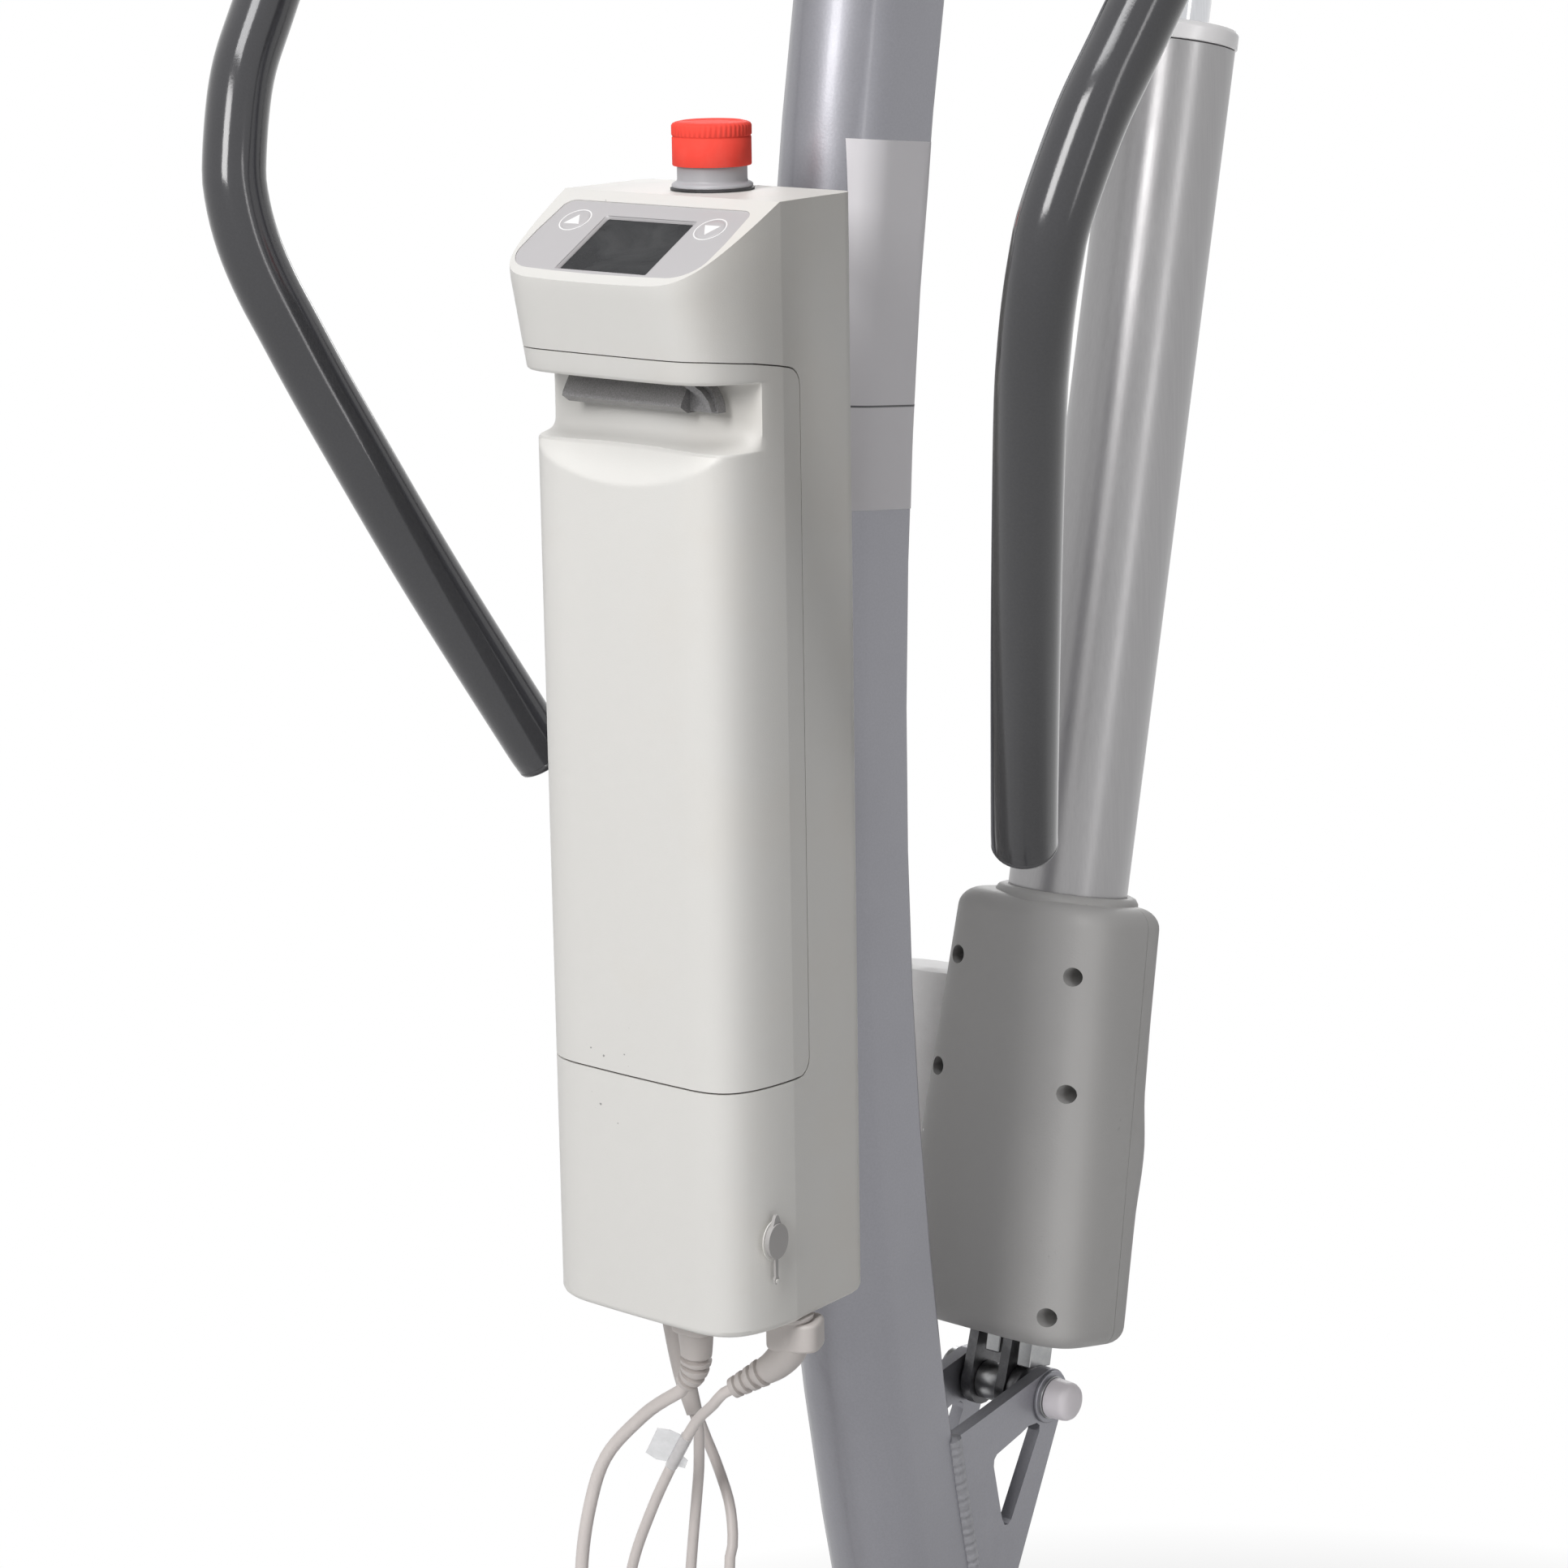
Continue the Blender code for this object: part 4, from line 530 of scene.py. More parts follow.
def settle(thing):
    """Apply what is on the piece, so that later cuts keep crisper edges than it has."""
    done = shape_of(thing)
    thing.modifiers.clear()
    thing.data = done
    return thing


def joined(name, things):
    work = bmesh.new()
    for thing in things:
        work.from_mesh(thing.data)
    first = things[0]
    work.to_mesh(first.data)
    work.free()
    for thing in things[1:]:
        bpy.data.objects.remove(thing, do_unlink=True)
    first.name = name
    return first


# Leads: the same routes as the solids, drawn finer
def even(points, step):
    """Points an even step apart on the smooth curve through these."""
    points = [Vector(p) for p in points]
    ends = [points[0] * 2 - points[1]] + points + [points[-1] * 2 - points[-2]]
    fine = []
    for i in range(1, len(ends) - 2):
        a, b, c, d = ends[i - 1:i + 3]
        for j in range(24):
            t = j / 24
            fine.append(0.5 * (b * 2 + (c - a) * t + (a * 2 - b * 5 + c * 4 - d) * t * t
                               + (b * 3 - a - c * 3 + d) * t ** 3))
    fine.append(points[-1])
    total = sum((fine[i + 1] - fine[i]).length for i in range(len(fine) - 1))
    count = max(2, round(total / step))
    result, walked, target = [fine[0]], 0.0, total / count
    for i in range(len(fine) - 1):
        length = (fine[i + 1] - fine[i]).length
        while length > 0 and walked + length >= target - 1e-6 and len(result) < count:
            result.append(fine[i].lerp(fine[i + 1], (target - walked) / length))
            target += total / count
        walked += length
    return result + [fine[-1]]


def lead(name, points, diameter, body="chassis"):
    route = even(points, 5.0)
    line = bpy.data.curves.new(name + "_sheath", "CURVE")
    line.dimensions = "3D"
    line.bevel_depth, line.bevel_resolution = diameter / 2000, 5
    line.use_fill_caps, line.resolution_u = True, 1
    row = line.splines.new("POLY")
    row.points.add(len(route) - 1)
    for point, place in zip(row.points, route):
        point.co = (*spot(place), 1.0)
    row.use_smooth = True
    thing = placed(name + "_sheath", line)
    line.materials.append(CABLE)
    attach(thing, body)
    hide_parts(name)
    return route


def plug(name, path, radii, ribs, waist):
    """A moulded plug: collar at the socket, body, then a ribbed boot round the cable."""
    route = even(path, 0.4)
    lengths = [0.0]
    for a, b in zip(route, route[1:]):
        lengths.append(lengths[-1] + (b - a).length)
    given = [0.0]
    for a, b in zip(path, path[1:]):
        given.append(given[-1] + (Vector(b) - Vector(a)).length)
    scale = lengths[-1] / given[-1]
    size = []
    for s in lengths:
        for i in range(len(given) - 1):
            if s <= given[i + 1] * scale + 1e-6:
                f = (s / scale - given[i]) / max(given[i + 1] - given[i], 1e-6)
                r = radii[i] + (radii[i + 1] - radii[i]) * min(max(f, 0.0), 1.0)
                break
        left = (lengths[-1] - s) / ribs[1]
        if left < ribs[0]:
            r = (r + 0.5) * (1.0 if left % 1.0 < 0.58 else waist)
        size.append(r)
    swept(name + "_shell", route, size, 32, GREY, "chassis", angle=38, stand_for=(name,))


HAND_PATH = [(35, -1, -0.3), (35, -1, -14), (35, -1, -15), (35, -1, -26), (35, 0.6, -34),
             (35, 5, -40)]
MOTOR_PATH = [(43, -46, -0.3), (43, -46, -9), (42.6, -44.5, -16), (41, -39, -23),
              (38.5, -31, -29), (35, -21, -36)]
DRIVE_PATH = [(60, 33, -0.3), (60, 33, -13), (60, 32.6, -14), (60, 31, -31), (60, 27.5, -50),
              (60, 22.3, -66)]
plug("handset_plug", HAND_PATH, [9.0, 9.0, 7.6, 6.6, 5.3, 4.2], (4, 3.9), 0.72)
plug("motor_plug", MOTOR_PATH, [8.0, 8.0, 7.6, 6.6, 5.2, 4.0], (4, 4.3), 0.72)
plug("leg_drive_plug", DRIVE_PATH, [8.0, 8.0, 6.8, 5.6, 4.6, 3.5], (0, 5.0), 1.0)
for tag, x, y, r in (("handset", 35, -1, 10.5), ("motor", 43, -46, 9.2), ("drive", 60, 33, 9.6)):
    turned(tag + "_socket_rim", [(r - 1.6, 0.6), (r, 0.2), (r, -1.0), (r - 0.8, -1.8),
                                 (6.0, -1.8)], (x, y, 0), EZ, GREY, "chassis", bevel=0.2)


def beyond(path, gap):
    return Vector(path[-1]) + (Vector(path[-1]) - Vector(path[-2])).normalized() * gap


LEAN = math.radians(12.3705)
FOOT = Vector((254.0, 0, -110.0))
AU = Vector((math.sin(LEAN), 0, math.cos(LEAN)))
AV = Vector((math.cos(LEAN), 0, -math.sin(LEAN)))


def on_axis(u, y=0.0, v=0.0):
    return FOOT + AU * u + EY * y + AV * v


lead("handset_lead", [
    beyond(HAND_PATH, 0.4), beyond(HAND_PATH, 6), (34.2, 16, -50), (33, 28, -60), (30, 46, -81),
    (27.5, 54, -104), (26, 59, -135), (28, 62, -180), (36, 63, -240), (56, 63, -330),
    (80, 61, -420), (101, 53, -498), (117, 38, -543), (127, 18, -556), (132.4, 4, -535),
    (133, 0, -505), (133, 0, -470.3)], 5.7)
motor_route = lead("motor_lead", [
    beyond(MOTOR_PATH, 0.4), beyond(MOTOR_PATH, 6), (35, -9, -47), (36.2, 1, -57), (38, 16, -80),
    (40, 31, -107), (43, 45, -137), (47, 56, -175), (54, 60, -215), (62, 50, -248),
    (67, 31, -258), (68, 14, -234), (66, 9, -190), (66, 9.4, -136), (70, 10.7, -125.6),
    (75, 16.4, -111.5), (81, 28, -98.5), (87, 40.4, -88.2), (93, 51, -79), (98, 58.5, -65),
    (101, 62.5, -46), (105, 63, -22), (112, 59.5, -2), (124, 54.5, 10), (142, 51, 10),
    (166, 50.5, -6), (194, 53, -42), (217, 58, -80), (235, 64.5, -107), (248, 68.5, -114),
    (256, 70, -104), (260, 70, -85), on_axis(51.7, 70.0)], 4.7)
# The gland is the low boss on the leg drive housing behind the mast
GLAND = (190.7, 22.0, -575.0)
lead("leg_drive_lead", [
    beyond(DRIVE_PATH, 0.4), beyond(DRIVE_PATH, 7), (60.4, 20.6, -83), (60.6, 21.5, -96),
    (61.5, 27.5, -139), (66, 37, -200), (82, 47, -290), (106, 51, -380), (140, 48, -462),
    (168, 38, -522), (184, 27, -548), (GLAND[0], 22.5, GLAND[2] + 14),
    (GLAND[0], GLAND[1], GLAND[2] + 8.3)], 4.7)

# The motor plug's broad body turns the lead sideways under the box
wide = [(11.5 * math.copysign(abs(math.cos(a)) ** 0.6, math.cos(a)) + 1.0,
         9.4 * math.copysign(abs(math.sin(a)) ** 0.6, math.sin(a)))
        for a in [2 * math.pi * i / 40 for i in range(40)]]
slab("motor_plug_body", (44.5, -45.5, 0), Vector((0.42, -0.91, 0)).normalized(),
     Vector((0.91, 0.42, 0)).normalized(), EZ, wide, -14.5, -2.2, GREY, "chassis", bevel=1.6,
     steps=3)
slab("handset_plug_body", (35.0, -1.6, 0), EX, EY, EZ, [(p[0] * 0.86, p[1]) for p in wide], -15.0,
     -2.0, GREY, "chassis", bevel=1.4, steps=3)

# CAD nodes whose shape is right: softened edges and a finish
KEEP = {
    SILVER: ["base_frame", "left_leg", "right_leg", "boom_yoke", "boom", "mast"],
    ZINC: ["leg_drive_bar", "boom_pin", "hanger", "left_catch", "right_catch",
           "lower_pin", "spindle", "upper_pin", "rear_left_fork", "rear_right_fork",
           "front_left_fork", "front_right_fork"],
    BLACK: ["leg_drive_housing", "handle_clamp", "handset_hook", "rear_left_brake",
            "rear_right_brake", "drive_motor", "battery_cells"],
    GREY: ["back_plate", "handset_body"], MOTOR: ["motor_cover"], MID: ["handset_rocker"],
    ALU: ["guide_tube"], CAP: ["tube_cap"], CHROME: ["piston_rod"], BOARD: ["circuit_board"],
}
# How wide their softened edges are, where that isn't 0.5
WIDTH = {"boom": 1.2, "left_leg": 1.2, "right_leg": 1.2, "base_frame": 1.0, "mast": 0.8,
         "handset_body": 1.2, "motor_cover": 1.2, "back_plate": 1.2, "leg_drive_housing": 1.5,
         "handset_hook": 1.0, "handle_clamp": 1.2, "hanger": 0.8, "circuit_board": 0.2,
         "upper_pin": 0.3, "spindle": 0.3}
for paint, names in KEEP.items():
    for name in names:
        thing = NODES[name]
        for place in thing.material_slots:
            place.material = paint
        thing.modifiers.new("weld", "WELD").merge_threshold = 0.00001
        soften(thing, WIDTH.get(name, 0.5), 2, 32, sharp=False)


# Control box: case and battery cover from one outline, set in where the cover is hollowed
CREASE = 36.3          # how far behind the front the sides turn
HALF_BOX = 55.0        # half its width
BACK_CORNER = [(77.0, 53.6), (79.6, 53.0), (81.4, 52.0), (82.7, 50.4), (83.3, 48.0)]


def half_outline(flare, grow=0.0):
    """Left half of the box's outline from above, its front leaning out by flare."""
    pts = [(0.00055 * y * y, y) for y in [27.0 * i / 12 for i in range(13)]]
    # The corner eases into the side
    bend = [(0.4, 27.0), (0.4, 47.2), (8.3, 53.1), (35.7, HALF_BOX)]
    for i in range(1, 19):
        t = i / 18
        k = ((1 - t) ** 3, 3 * t * (1 - t) ** 2, 3 * t * t * (1 - t), t ** 3)
        pts.append(tuple(sum(w * p[n] for w, p in zip(k, bend)) for n in (0, 1)))
    pts += [(CREASE, 54.98), (46, 54.5), (60, 53.9)] + BACK_CORNER
    out = []
    for x, y in pts:
        push = grow if x > 40 else -grow
        out.append((x + push - flare * max(0.0, 1 - x / CREASE), y * (HALF_BOX + grow) / HALF_BOX))
    return out


def whole_ring(z, flare=0.0, grow=0.0, shift=None):
    """The box's outline at one height; shift moves its points back."""
    half = half_outline(flare, grow)
    pts = half + [(x, -y) for x, y in half[:0:-1]]
    return [Vector((shift(x, y, z) if shift else x, y, z)) for x, y in pts]


def seam_shape(grow):
    """The battery cover's outline from the side, grown by this much."""
    shape = [(-60, 410), (-13, 397.4), (0, 396.6), (20, 394.3), (34, 392.0)]
    for a in (10, 30, 50, 70, 90):
        shape.append((38.5 + 8 * math.sin(math.radians(a)), 382.9 + 8 * math.cos(math.radians(a))))
    for a in (0, 22, 45, 68, 90):
        shape.append((39.5 + 7 * math.cos(math.radians(a)), 111.2 - 7 * math.sin(math.radians(a))))
    shape += [(36, 104.2), (-60, 104.2)]
    return [(x + (grow if x > 10 else -grow), z + (grow if z > 250 else -grow)) for x, z in shape]


# How far the head's front leans out, by height
FLARE = [(391.0, 7.4), (394.0, 8.1), (398.0, 9.1), (402.0, 10.1), (406.0, 11.1), (410.0, 12.1),
         (414.0, 13.1), (418.0, 14.1), (421.0, 14.9), (424.0, 15.6), (427.0, 16.1), (430.0, 16.2),
         (433.0, 15.8), (436.0, 15.0), (439.0, 13.9), (443.0, 12.2), (448.0, 10.0), (455.0, 7.5)]
BAND_Z = 385           # underside of the band over the recess


def cover_flare(z):
    """How far the cover's front leans out beside the recess and on the band above it."""
    if z < BAND_Z:
        return max(0.0, (z - 372) / 13) * 5.8
    return 5.8 + (z - BAND_Z) * 0.25


case_rings = [whole_ring(0.0, 0, -3.0), whole_ring(0.5, 0, -1.6), whole_ring(1.5, 0, -0.6),
              whole_ring(3.2, 0, 0.0), whole_ring(104, 0), whole_ring(250, 0)]
case_rings += [whole_ring(z, f) for z, f in FLARE]
TILT = math.radians(29.5)
PS = Vector((math.cos(TILT), 0, math.sin(TILT)))
PN = Vector((-math.sin(TILT), 0, math.cos(TILT)))
PANEL_X, PANEL_Z = 28.0, 450.8
PANEL = Vector((PANEL_X, 0, PANEL_Z))


def slope_z(x):
    return PANEL_Z + (x - PANEL_X) * math.tan(TILT)


def on_panel(name, outline, low, high, paint, body="chassis", **more):
    return slab(name, PANEL, PS, EY, PN, outline, low, high, paint, body, **more)


def film_outline(grow):
    """Rounded outline of the printed film: square at the back, round at the front."""
    half = [(1.5 + grow, 0.0), (1.5 + grow, 41.0)]
    half += arc((1.5 - 5.0, 42.6), 5.0 + grow, 0, 75, 6)
    half += [(-20.0, 48.3 + grow), (-30.0, 48.0 + grow)]
    half += arc((-30.5, 34.8), 13.2 + grow, 88, 176, 8)
    half += [(-44.4 - grow, 20.0), (-44.8 - grow, 0.0)]
    return half + [(s, -y) for s, y in half[-2:0:-1]]


case = loft("box_case", case_rings, SHELL)
wedge = prism("wedge", [(-60.0, slope_z(-60)), (90.0, slope_z(90)), (-60.0, slope_z(90))], "Y",
              -90, 90, SHELL)
keep_out = prism("cover_room", seam_shape(0.5), "Y", -90, 90, SHELL)
film_bed = slab("film_bed", PANEL, PS, EY, PN, film_outline(0.08), -0.9, 20, SHELL)
cut(case, wedge)
dress(case, SHELL, bevel=2.4, angle=24, steps=4)
settle(case)
cut(case, keep_out)
cut(case, film_bed)
cut(case, slab("pit", PANEL, PS, EY, PN, oblong(-43.4, -6.4, -25.6, 22.4), -2.4, 20, SHELL))
cut(case, slab("plate_room", (76.2, 0, 0), EY, EZ, EX, oblong(-50.4, 50.4, 3.6, 451.4), 0, 30,
               SHELL))
dress(case, SHELL, "chassis", bevel=0.22, angle=40, steps=2, stand_for=("control_case",))

# A dark sheet set in the seam round the cover: painted shade where the gap falls dark
seam_shade_sheet = loft("seam_painted_shade", [whole_ring(z, cover_flare(z), -0.7)
                            for z in (60.0, 104.0, 250.0, 372.0, 385.0, 420.0)], SEAM_SHADE)
cut(seam_shade_sheet, prism("a", seam_shape(0.48), "Y", -90, 90, SEAM_SHADE), kind="INTERSECT")
cut(seam_shade_sheet, prism("b", seam_shape(0.03), "Y", -90, 90, SEAM_SHADE))
dress(seam_shade_sheet, SEAM_SHADE, "chassis", angle=30)


def hollow(x, y, w):
    """How far back the front stands where the recess has share w of its depth."""
    deep = 17.0 + 0.0026 * y * y - x
    return x if x > 36.0 or deep <= 0 else x + deep * w


# Heights of the cover's rings, each with the recess's share of its depth there
LEVELS = [(z, 0) for z in (104.5, 106, 140, 200, 260, 310, 338)]
LEVELS += [(340 + i * 0.9, 0) for i in range(22)]
LEVELS += [(359.3, 0.0), (359.9, 0.015), (360.3, 0.05), (360.5, 0.14), (360.7, 0.26),
           (361.0, 0.40), (361.5, 0.54), (362.3, 0.67), (363.4, 0.78), (364.8, 0.865),
           (366.6, 0.93), (369.0, 0.975), (372.0, 1.0), (381.0, 1.0), (384.7, 0.99),
           (386.1, 0.95), (386.7, 0.88), (387.0, 0.7), (387.2, 0.4), (387.4, 0.16), (387.8, 0.05),
           (388.5, 0.012), (389.5, 0.0), (393.0, 0.0), (398.0, 0.0)]
LIP_Z = 359.3          # the recess's lower lip
SCOOP_HALF, SCOOP_DROP, SCOOP_DEEP = 47.0, 13.5, 7.6


def cover_x(x, y, z, w):
    """A crescent scoop for the thumb, deepest at the lip, which it carries back with it."""
    span = 1 - (y / SCOOP_HALF) ** 2
    scoop = 0.0
    if span > 0 and x < 14 and z < 380:
        low = LIP_Z - SCOOP_DROP * span ** 0.8
        share = min(1.0, max(0.0, (z - low) / (LIP_Z - low)))
        scoop = SCOOP_DEEP * span ** 0.7 * share ** 1.05
    return max(x + scoop, hollow(x, y, w))


cover_rings = [whole_ring(z, cover_flare(z), 0.0, lambda x, y, z: cover_x(x, y, z, w))
               for z, w in LEVELS]
cover = loft("battery_cover", cover_rings, SHELL)
keeper = prism("keeper", seam_shape(0.0), "Y", -90, 90, SHELL)
cut(cover, keeper, kind="INTERSECT")
dress(cover, SHELL, "battery", bevel=0.4, angle=40, steps=2, stand_for=("battery_case",))

# Latch: a bar under the head with a rounded lever end on the right
bar_top = [(7.0, 377.2), (7.5, 378.8), (12.6, 386.6), (13.8, 387.6), (16.6, 387.6), (16.6, 374.6),
           (11.0, 374.6)]
bar = prism("latch_bar", bar_top, "Y", -27.5, 34.0, LATCH)
lever = [(-24.0, 375.4), (-41.6, 375.4), (-41.2, 378.6)]
lever += [(-40.0, 381.8), (-37.8, 384.8), (-34.4, 387.0), (-24.0, 387.6)]
side = prism("latch_side", lever, "X", 12.6, 17.4, LATCH)
fin = slab("latch_fin", (14.8, -27.5, 386.6), EY, EZ, EX,
           [(0, 0), (-4.0, -0.6), (-8.4, -2.8), (-11.8, -6.4), (-13.4, -10.4), (-12.2, -10.4),
            (-8.2, -5.4), (0, -1.6)], -5.2, 0.4, LATCH)
latch = joined("battery_latch_bar", [bar, side, fin])
dress(latch, LATCH, "battery_latch", bevel=0.45, angle=30, stand_for=("battery_latch",))
# Painted shade: dark slips across the latch bar where its gaps fall dark
for n, place in ((1, 30.6), (2, -24.2)):
    prism("latch_painted_shade_%d" % n, oblong(15.0, 17.9, 374.2, 387.9), "Y", place + 0.1, place + 0.9,
          SEAM_SHADE, "battery_latch", smooth=False)

# Printed film with its window, key rings and arrows
film = on_panel("film", film_outline(0.0), -1.0, -0.35, FILM, None)
cut(film, on_panel("film_window", oblong(-42.5, -7.0, -24.8, 21.6), -4, 4, FILM, None))
dress(film, FILM, "chassis", bevel=0.2, angle=40, stand_for=("keypad_panel",))


def square(s0, s1, half, r, mid=-1.6):
    """Rounded oblong up the slope from s0 to s1, a little to the right of the middle."""
    return rounded(s0, s1, mid - half, mid + half, r, 3)


on_panel("window_glass", square(-41.2, -8.0, 21.9, 0.8), -1.9, -1.35, SCREEN,
         bevel=0.15, stand_for=("display_window",))
outer, inner = square(-42.8, -6.7, 23.5, 1.6), square(-41.5, -7.8, 22.2, 1.0)
rim_points = [PANEL + PS * p[0] + EY * p[1] + PN * h for h, o in
          ((-0.3, outer), (-1.6, inner), (-2.2, inner), (-1.4, outer)) for p in o]
n = len(outer)
rim_faces = [[a * n + j, a * n + (j + 1) % n, b * n + (j + 1) % n, b * n + j]
             for a, b in ((0, 1), (1, 2), (2, 3), (3, 0)) for j in range(n)]
solid("window_rim", rim_points, rim_faces, FILM, "chassis", angle=50)


def ring_on(name, centre, r0, r1, low, high, paint, body, count=48):
    verts, faces = [], []
    for i, d in enumerate(around(PS, EY, count)):
        verts += [centre + d * r0 + PN * low, centre + d * r1 + PN * low,
                  centre + d * r1 + PN * high, centre + d * r0 + PN * high]
        k = (i + 1) % count
        faces += [[i * 4 + j, k * 4 + j, k * 4 + (j + 1) % 4, i * 4 + (j + 1) % 4]
                  for j in range(4)]
    return solid(name, verts, faces, paint, body, angle=40)


for side, body, flip in ((1, "up_button", 1), (-1, "down_button", -1)):
    centre = PANEL + PS * -11.3 + EY * side * 34.6
    name = "up" if side > 0 else "down"
    dome = [(6.0, -4.0), (6.0, -0.34), (5.8, -0.22), (4.6, -0.12), (2.4, -0.05)]
    turned(name + "_key", dome, centre, PN, FILM, body, count=48, angle=60, stand_for=(body,))
    ring_on(name + "_ring", centre, 6.5, 7.0, -0.6, -0.24, PRINT, "chassis")
    tri = [(3.6 * flip - 0.4, 0.0), (-2.4 * flip - 0.4, 3.9), (-2.4 * flip - 0.4, -3.9)]
    slab(name + "_arrow", centre, PS, EY, PN, tri, -0.4, 0.05, PRINT, body, smooth=False)

# Stop button
STOP = (61.0, 0, 455.0)
turned("stop_seal", [(15.2, 0.0), (16.6, 0.1), (16.7, 0.9), (16.0, 1.3), (13.0, 1.3)], STOP, EZ,
       BLACK, "chassis", count=64, angle=50)
turned("stop_collar", [(9.0, 1.0), (15.6, 1.0), (16.1, 1.4), (16.1, 2.3), (15.4, 3.0),
                       (14.3, 3.4), (13.9, 4.2), (13.9, 11.9), (13.5, 12.3), (5.4, 12.3),
                       (5.4, 4.0)], STOP, EZ, MID, "chassis", count=64, bevel=0.2, angle=50,
       stand_for=("estop_collar",))
body_profile = [(5.0, 8.8), (5.0, 17.2), (14.3, 17.2), (14.3, 10.0), (14.7, 9.7), (15.5, 9.7),
                (15.7, 10.1), (15.7, 20.6), (15.45, 20.85), (15.45, 21.2), (15.7, 21.5)]
body_profile += [(15.75, 21.7, 1), (15.75, 25.2, 1), (15.3, 26.0, 1), (14.4, 26.5),
                 (12.6, 26.9), (11.9, 26.5), (9.0, 26.4), (3.0, 26.4)]
turned("stop_cap", body_profile, STOP, EZ, RED, "estop", count=288, wave=0.13, waves=48,
       angle=50, stand_for=("estop_cap",))


# Rubber bung on the right side, with its tab and tether
def oval(rx, rz):
    turns = [2 * math.pi * i / 32 for i in range(32)]
    return [(22 + rx * math.cos(a), 40 + rz * math.sin(a)) for a in turns]


plug_pieces = [prism("bung_head", oval(6.2, 7.4), "Y", -57.3, -55.1, BUNG),
               prism("bung_tab", [(19.3, 46.2), (20.6, 49.6), (21.4, 50.9), (22.6, 50.9),
                                  (23.4, 49.6), (24.7, 46.2)], "Y", -56.7, -55.2, BUNG),
               prism("bung_strap", [(21.1, 33.4), (22.9, 33.4), (22.8, 25.0), (23.4, 23.4),
                                    (23.0, 21.6), (21.0, 21.6), (20.6, 23.4), (21.2, 25.0)], "Y",
                     -56.2, -55.2, BUNG),
               turned("bung_stub", [(4.0, 0), (4.0, 6.9)], (22, -55.3, 40), EY, BUNG, count=24)]
dress(joined("bung", plug_pieces), BUNG, "rubber_bung", bevel=0.5, angle=40, steps=3,
      stand_for=("rubber_bung",))
prism("bung_bed", oval(7.2, 8.4), "Y", -55.15, -54.6, SHELL, "chassis", bevel=0.2)
turned("bung_eye", [(0.5, 0), (0.9, 0.1), (1.1, 0.6), (0.5, 0.8)], (22, -56.1, 22.8), -EY, SHELL,
       "rubber_bung", count=20)

# Push handles: one bent tube, drawn finer, with rounded plugs in its ends
RIGHT_SIDE = [(132, 0, 620), (132, 70, 620), (131, 132, 620), (125, 175, 618), (109, 205, 609),
              (85, 220, 592), (58, 223, 560), (29.4, 218.5, 519), (13, 214.6, 493.4),
              (1, 208.5, 461.1), (-0.9, 205.4, 444.7), (0.4, 201.4, 428), (4.4, 196.5, 411.1),
              (10.3, 190.9, 393.9), (23.6, 180.2, 359), (53.2, 157.4, 287.6),
              (86.8, 132.4, 213.6), (92.4, 128.4, 202.4)]
half = even(RIGHT_SIDE, 5.0)
path = [Vector((p.x, -p.y, p.z)) for p in half[:0:-1]] + half
swept("handle_tube", path, 13.3, 40, DARK, "chassis", angle=50, stand_for=("push_handle",))
for side, word in SIDES:
    end = Vector((half[-1].x, side * half[-1].y, half[-1].z))
    way = end - Vector((half[-3].x, side * half[-3].y, half[-3].z))
    turned("handle_plug_" + word, [(12.9, -1.2), (12.9, 0.25), (13.25, 0.5), (13.3, 1.5),
                                   (12.9, 2.5), (11.4, 3.4), (8.0, 4.0), (3.0, 4.25)], end, way,
           DARK, "chassis", angle=60)


# Actuator housing: two mouldings that meet at the seam plane, with deep screw wells
SHELL_LOW, SHELL_HIGH = 28.0, 228.0    # its ends, measured up the actuator from the lower pin
SPLIT = 5.0                            # how far ahead of the axis its halves part


def blurred(table, u, reach=9.0):
    """The table's value at u, averaged over reach on both sides."""
    total = 0.0
    for k in range(-4, 5):
        x = u + reach * k / 4
        value = table[0][1] if x <= table[0][0] else table[-1][1]
        for (a, low), (b, high) in zip(table, table[1:]):
            if a <= x <= b:
                value = low + (high - low) * (x - a) / (b - a)
        total += value
    return total / 9


FRONT_TABLE = ((28, 0.68), (40, 0.72), (67, 0.75), (96, 0.80), (105, 0.92), (127, 0.92),
               (135, 0.74), (175, 0.70), (228, 0.74))


def end_inset(u, r=9.0):
    """How far the housing draws in where its ends are rounded."""
    d = min(u - SHELL_LOW, SHELL_HIGH - u)
    return 0.0 if d >= r else r - math.sqrt(max(0.0, r * r - (r - d) ** 2))


def half_shell(name, sign, side_round):
    steps = (0, 0.25, 0.8, 1.8, 3.2, 5, 7, 9)
    heights = [SHELL_LOW + t for t in steps] + list(range(42, 216, 6))
    heights += [SHELL_HIGH - t for t in steps[::-1]]
    rings = []
    for u in heights:
        share = (u - SHELL_LOW) / 200
        inset = end_inset(u)
        wide = 52.5 - 9.8 * share - inset
        deep = (37.0 if sign < 0 else 28.0 * blurred(FRONT_TABLE, u)) - inset
        ring = []
        for i in range(45):
            c, s = math.cos(math.pi * i / 44), math.sin(math.pi * i / 44)
            ring.append(on_axis(u, wide * math.copysign(abs(c) ** 0.44, c),
                                SPLIT + sign * (0.15 + (deep - sign * SPLIT) * s ** side_round)))
        rings.append(ring)
    return loft(name, rings, HOUSE)


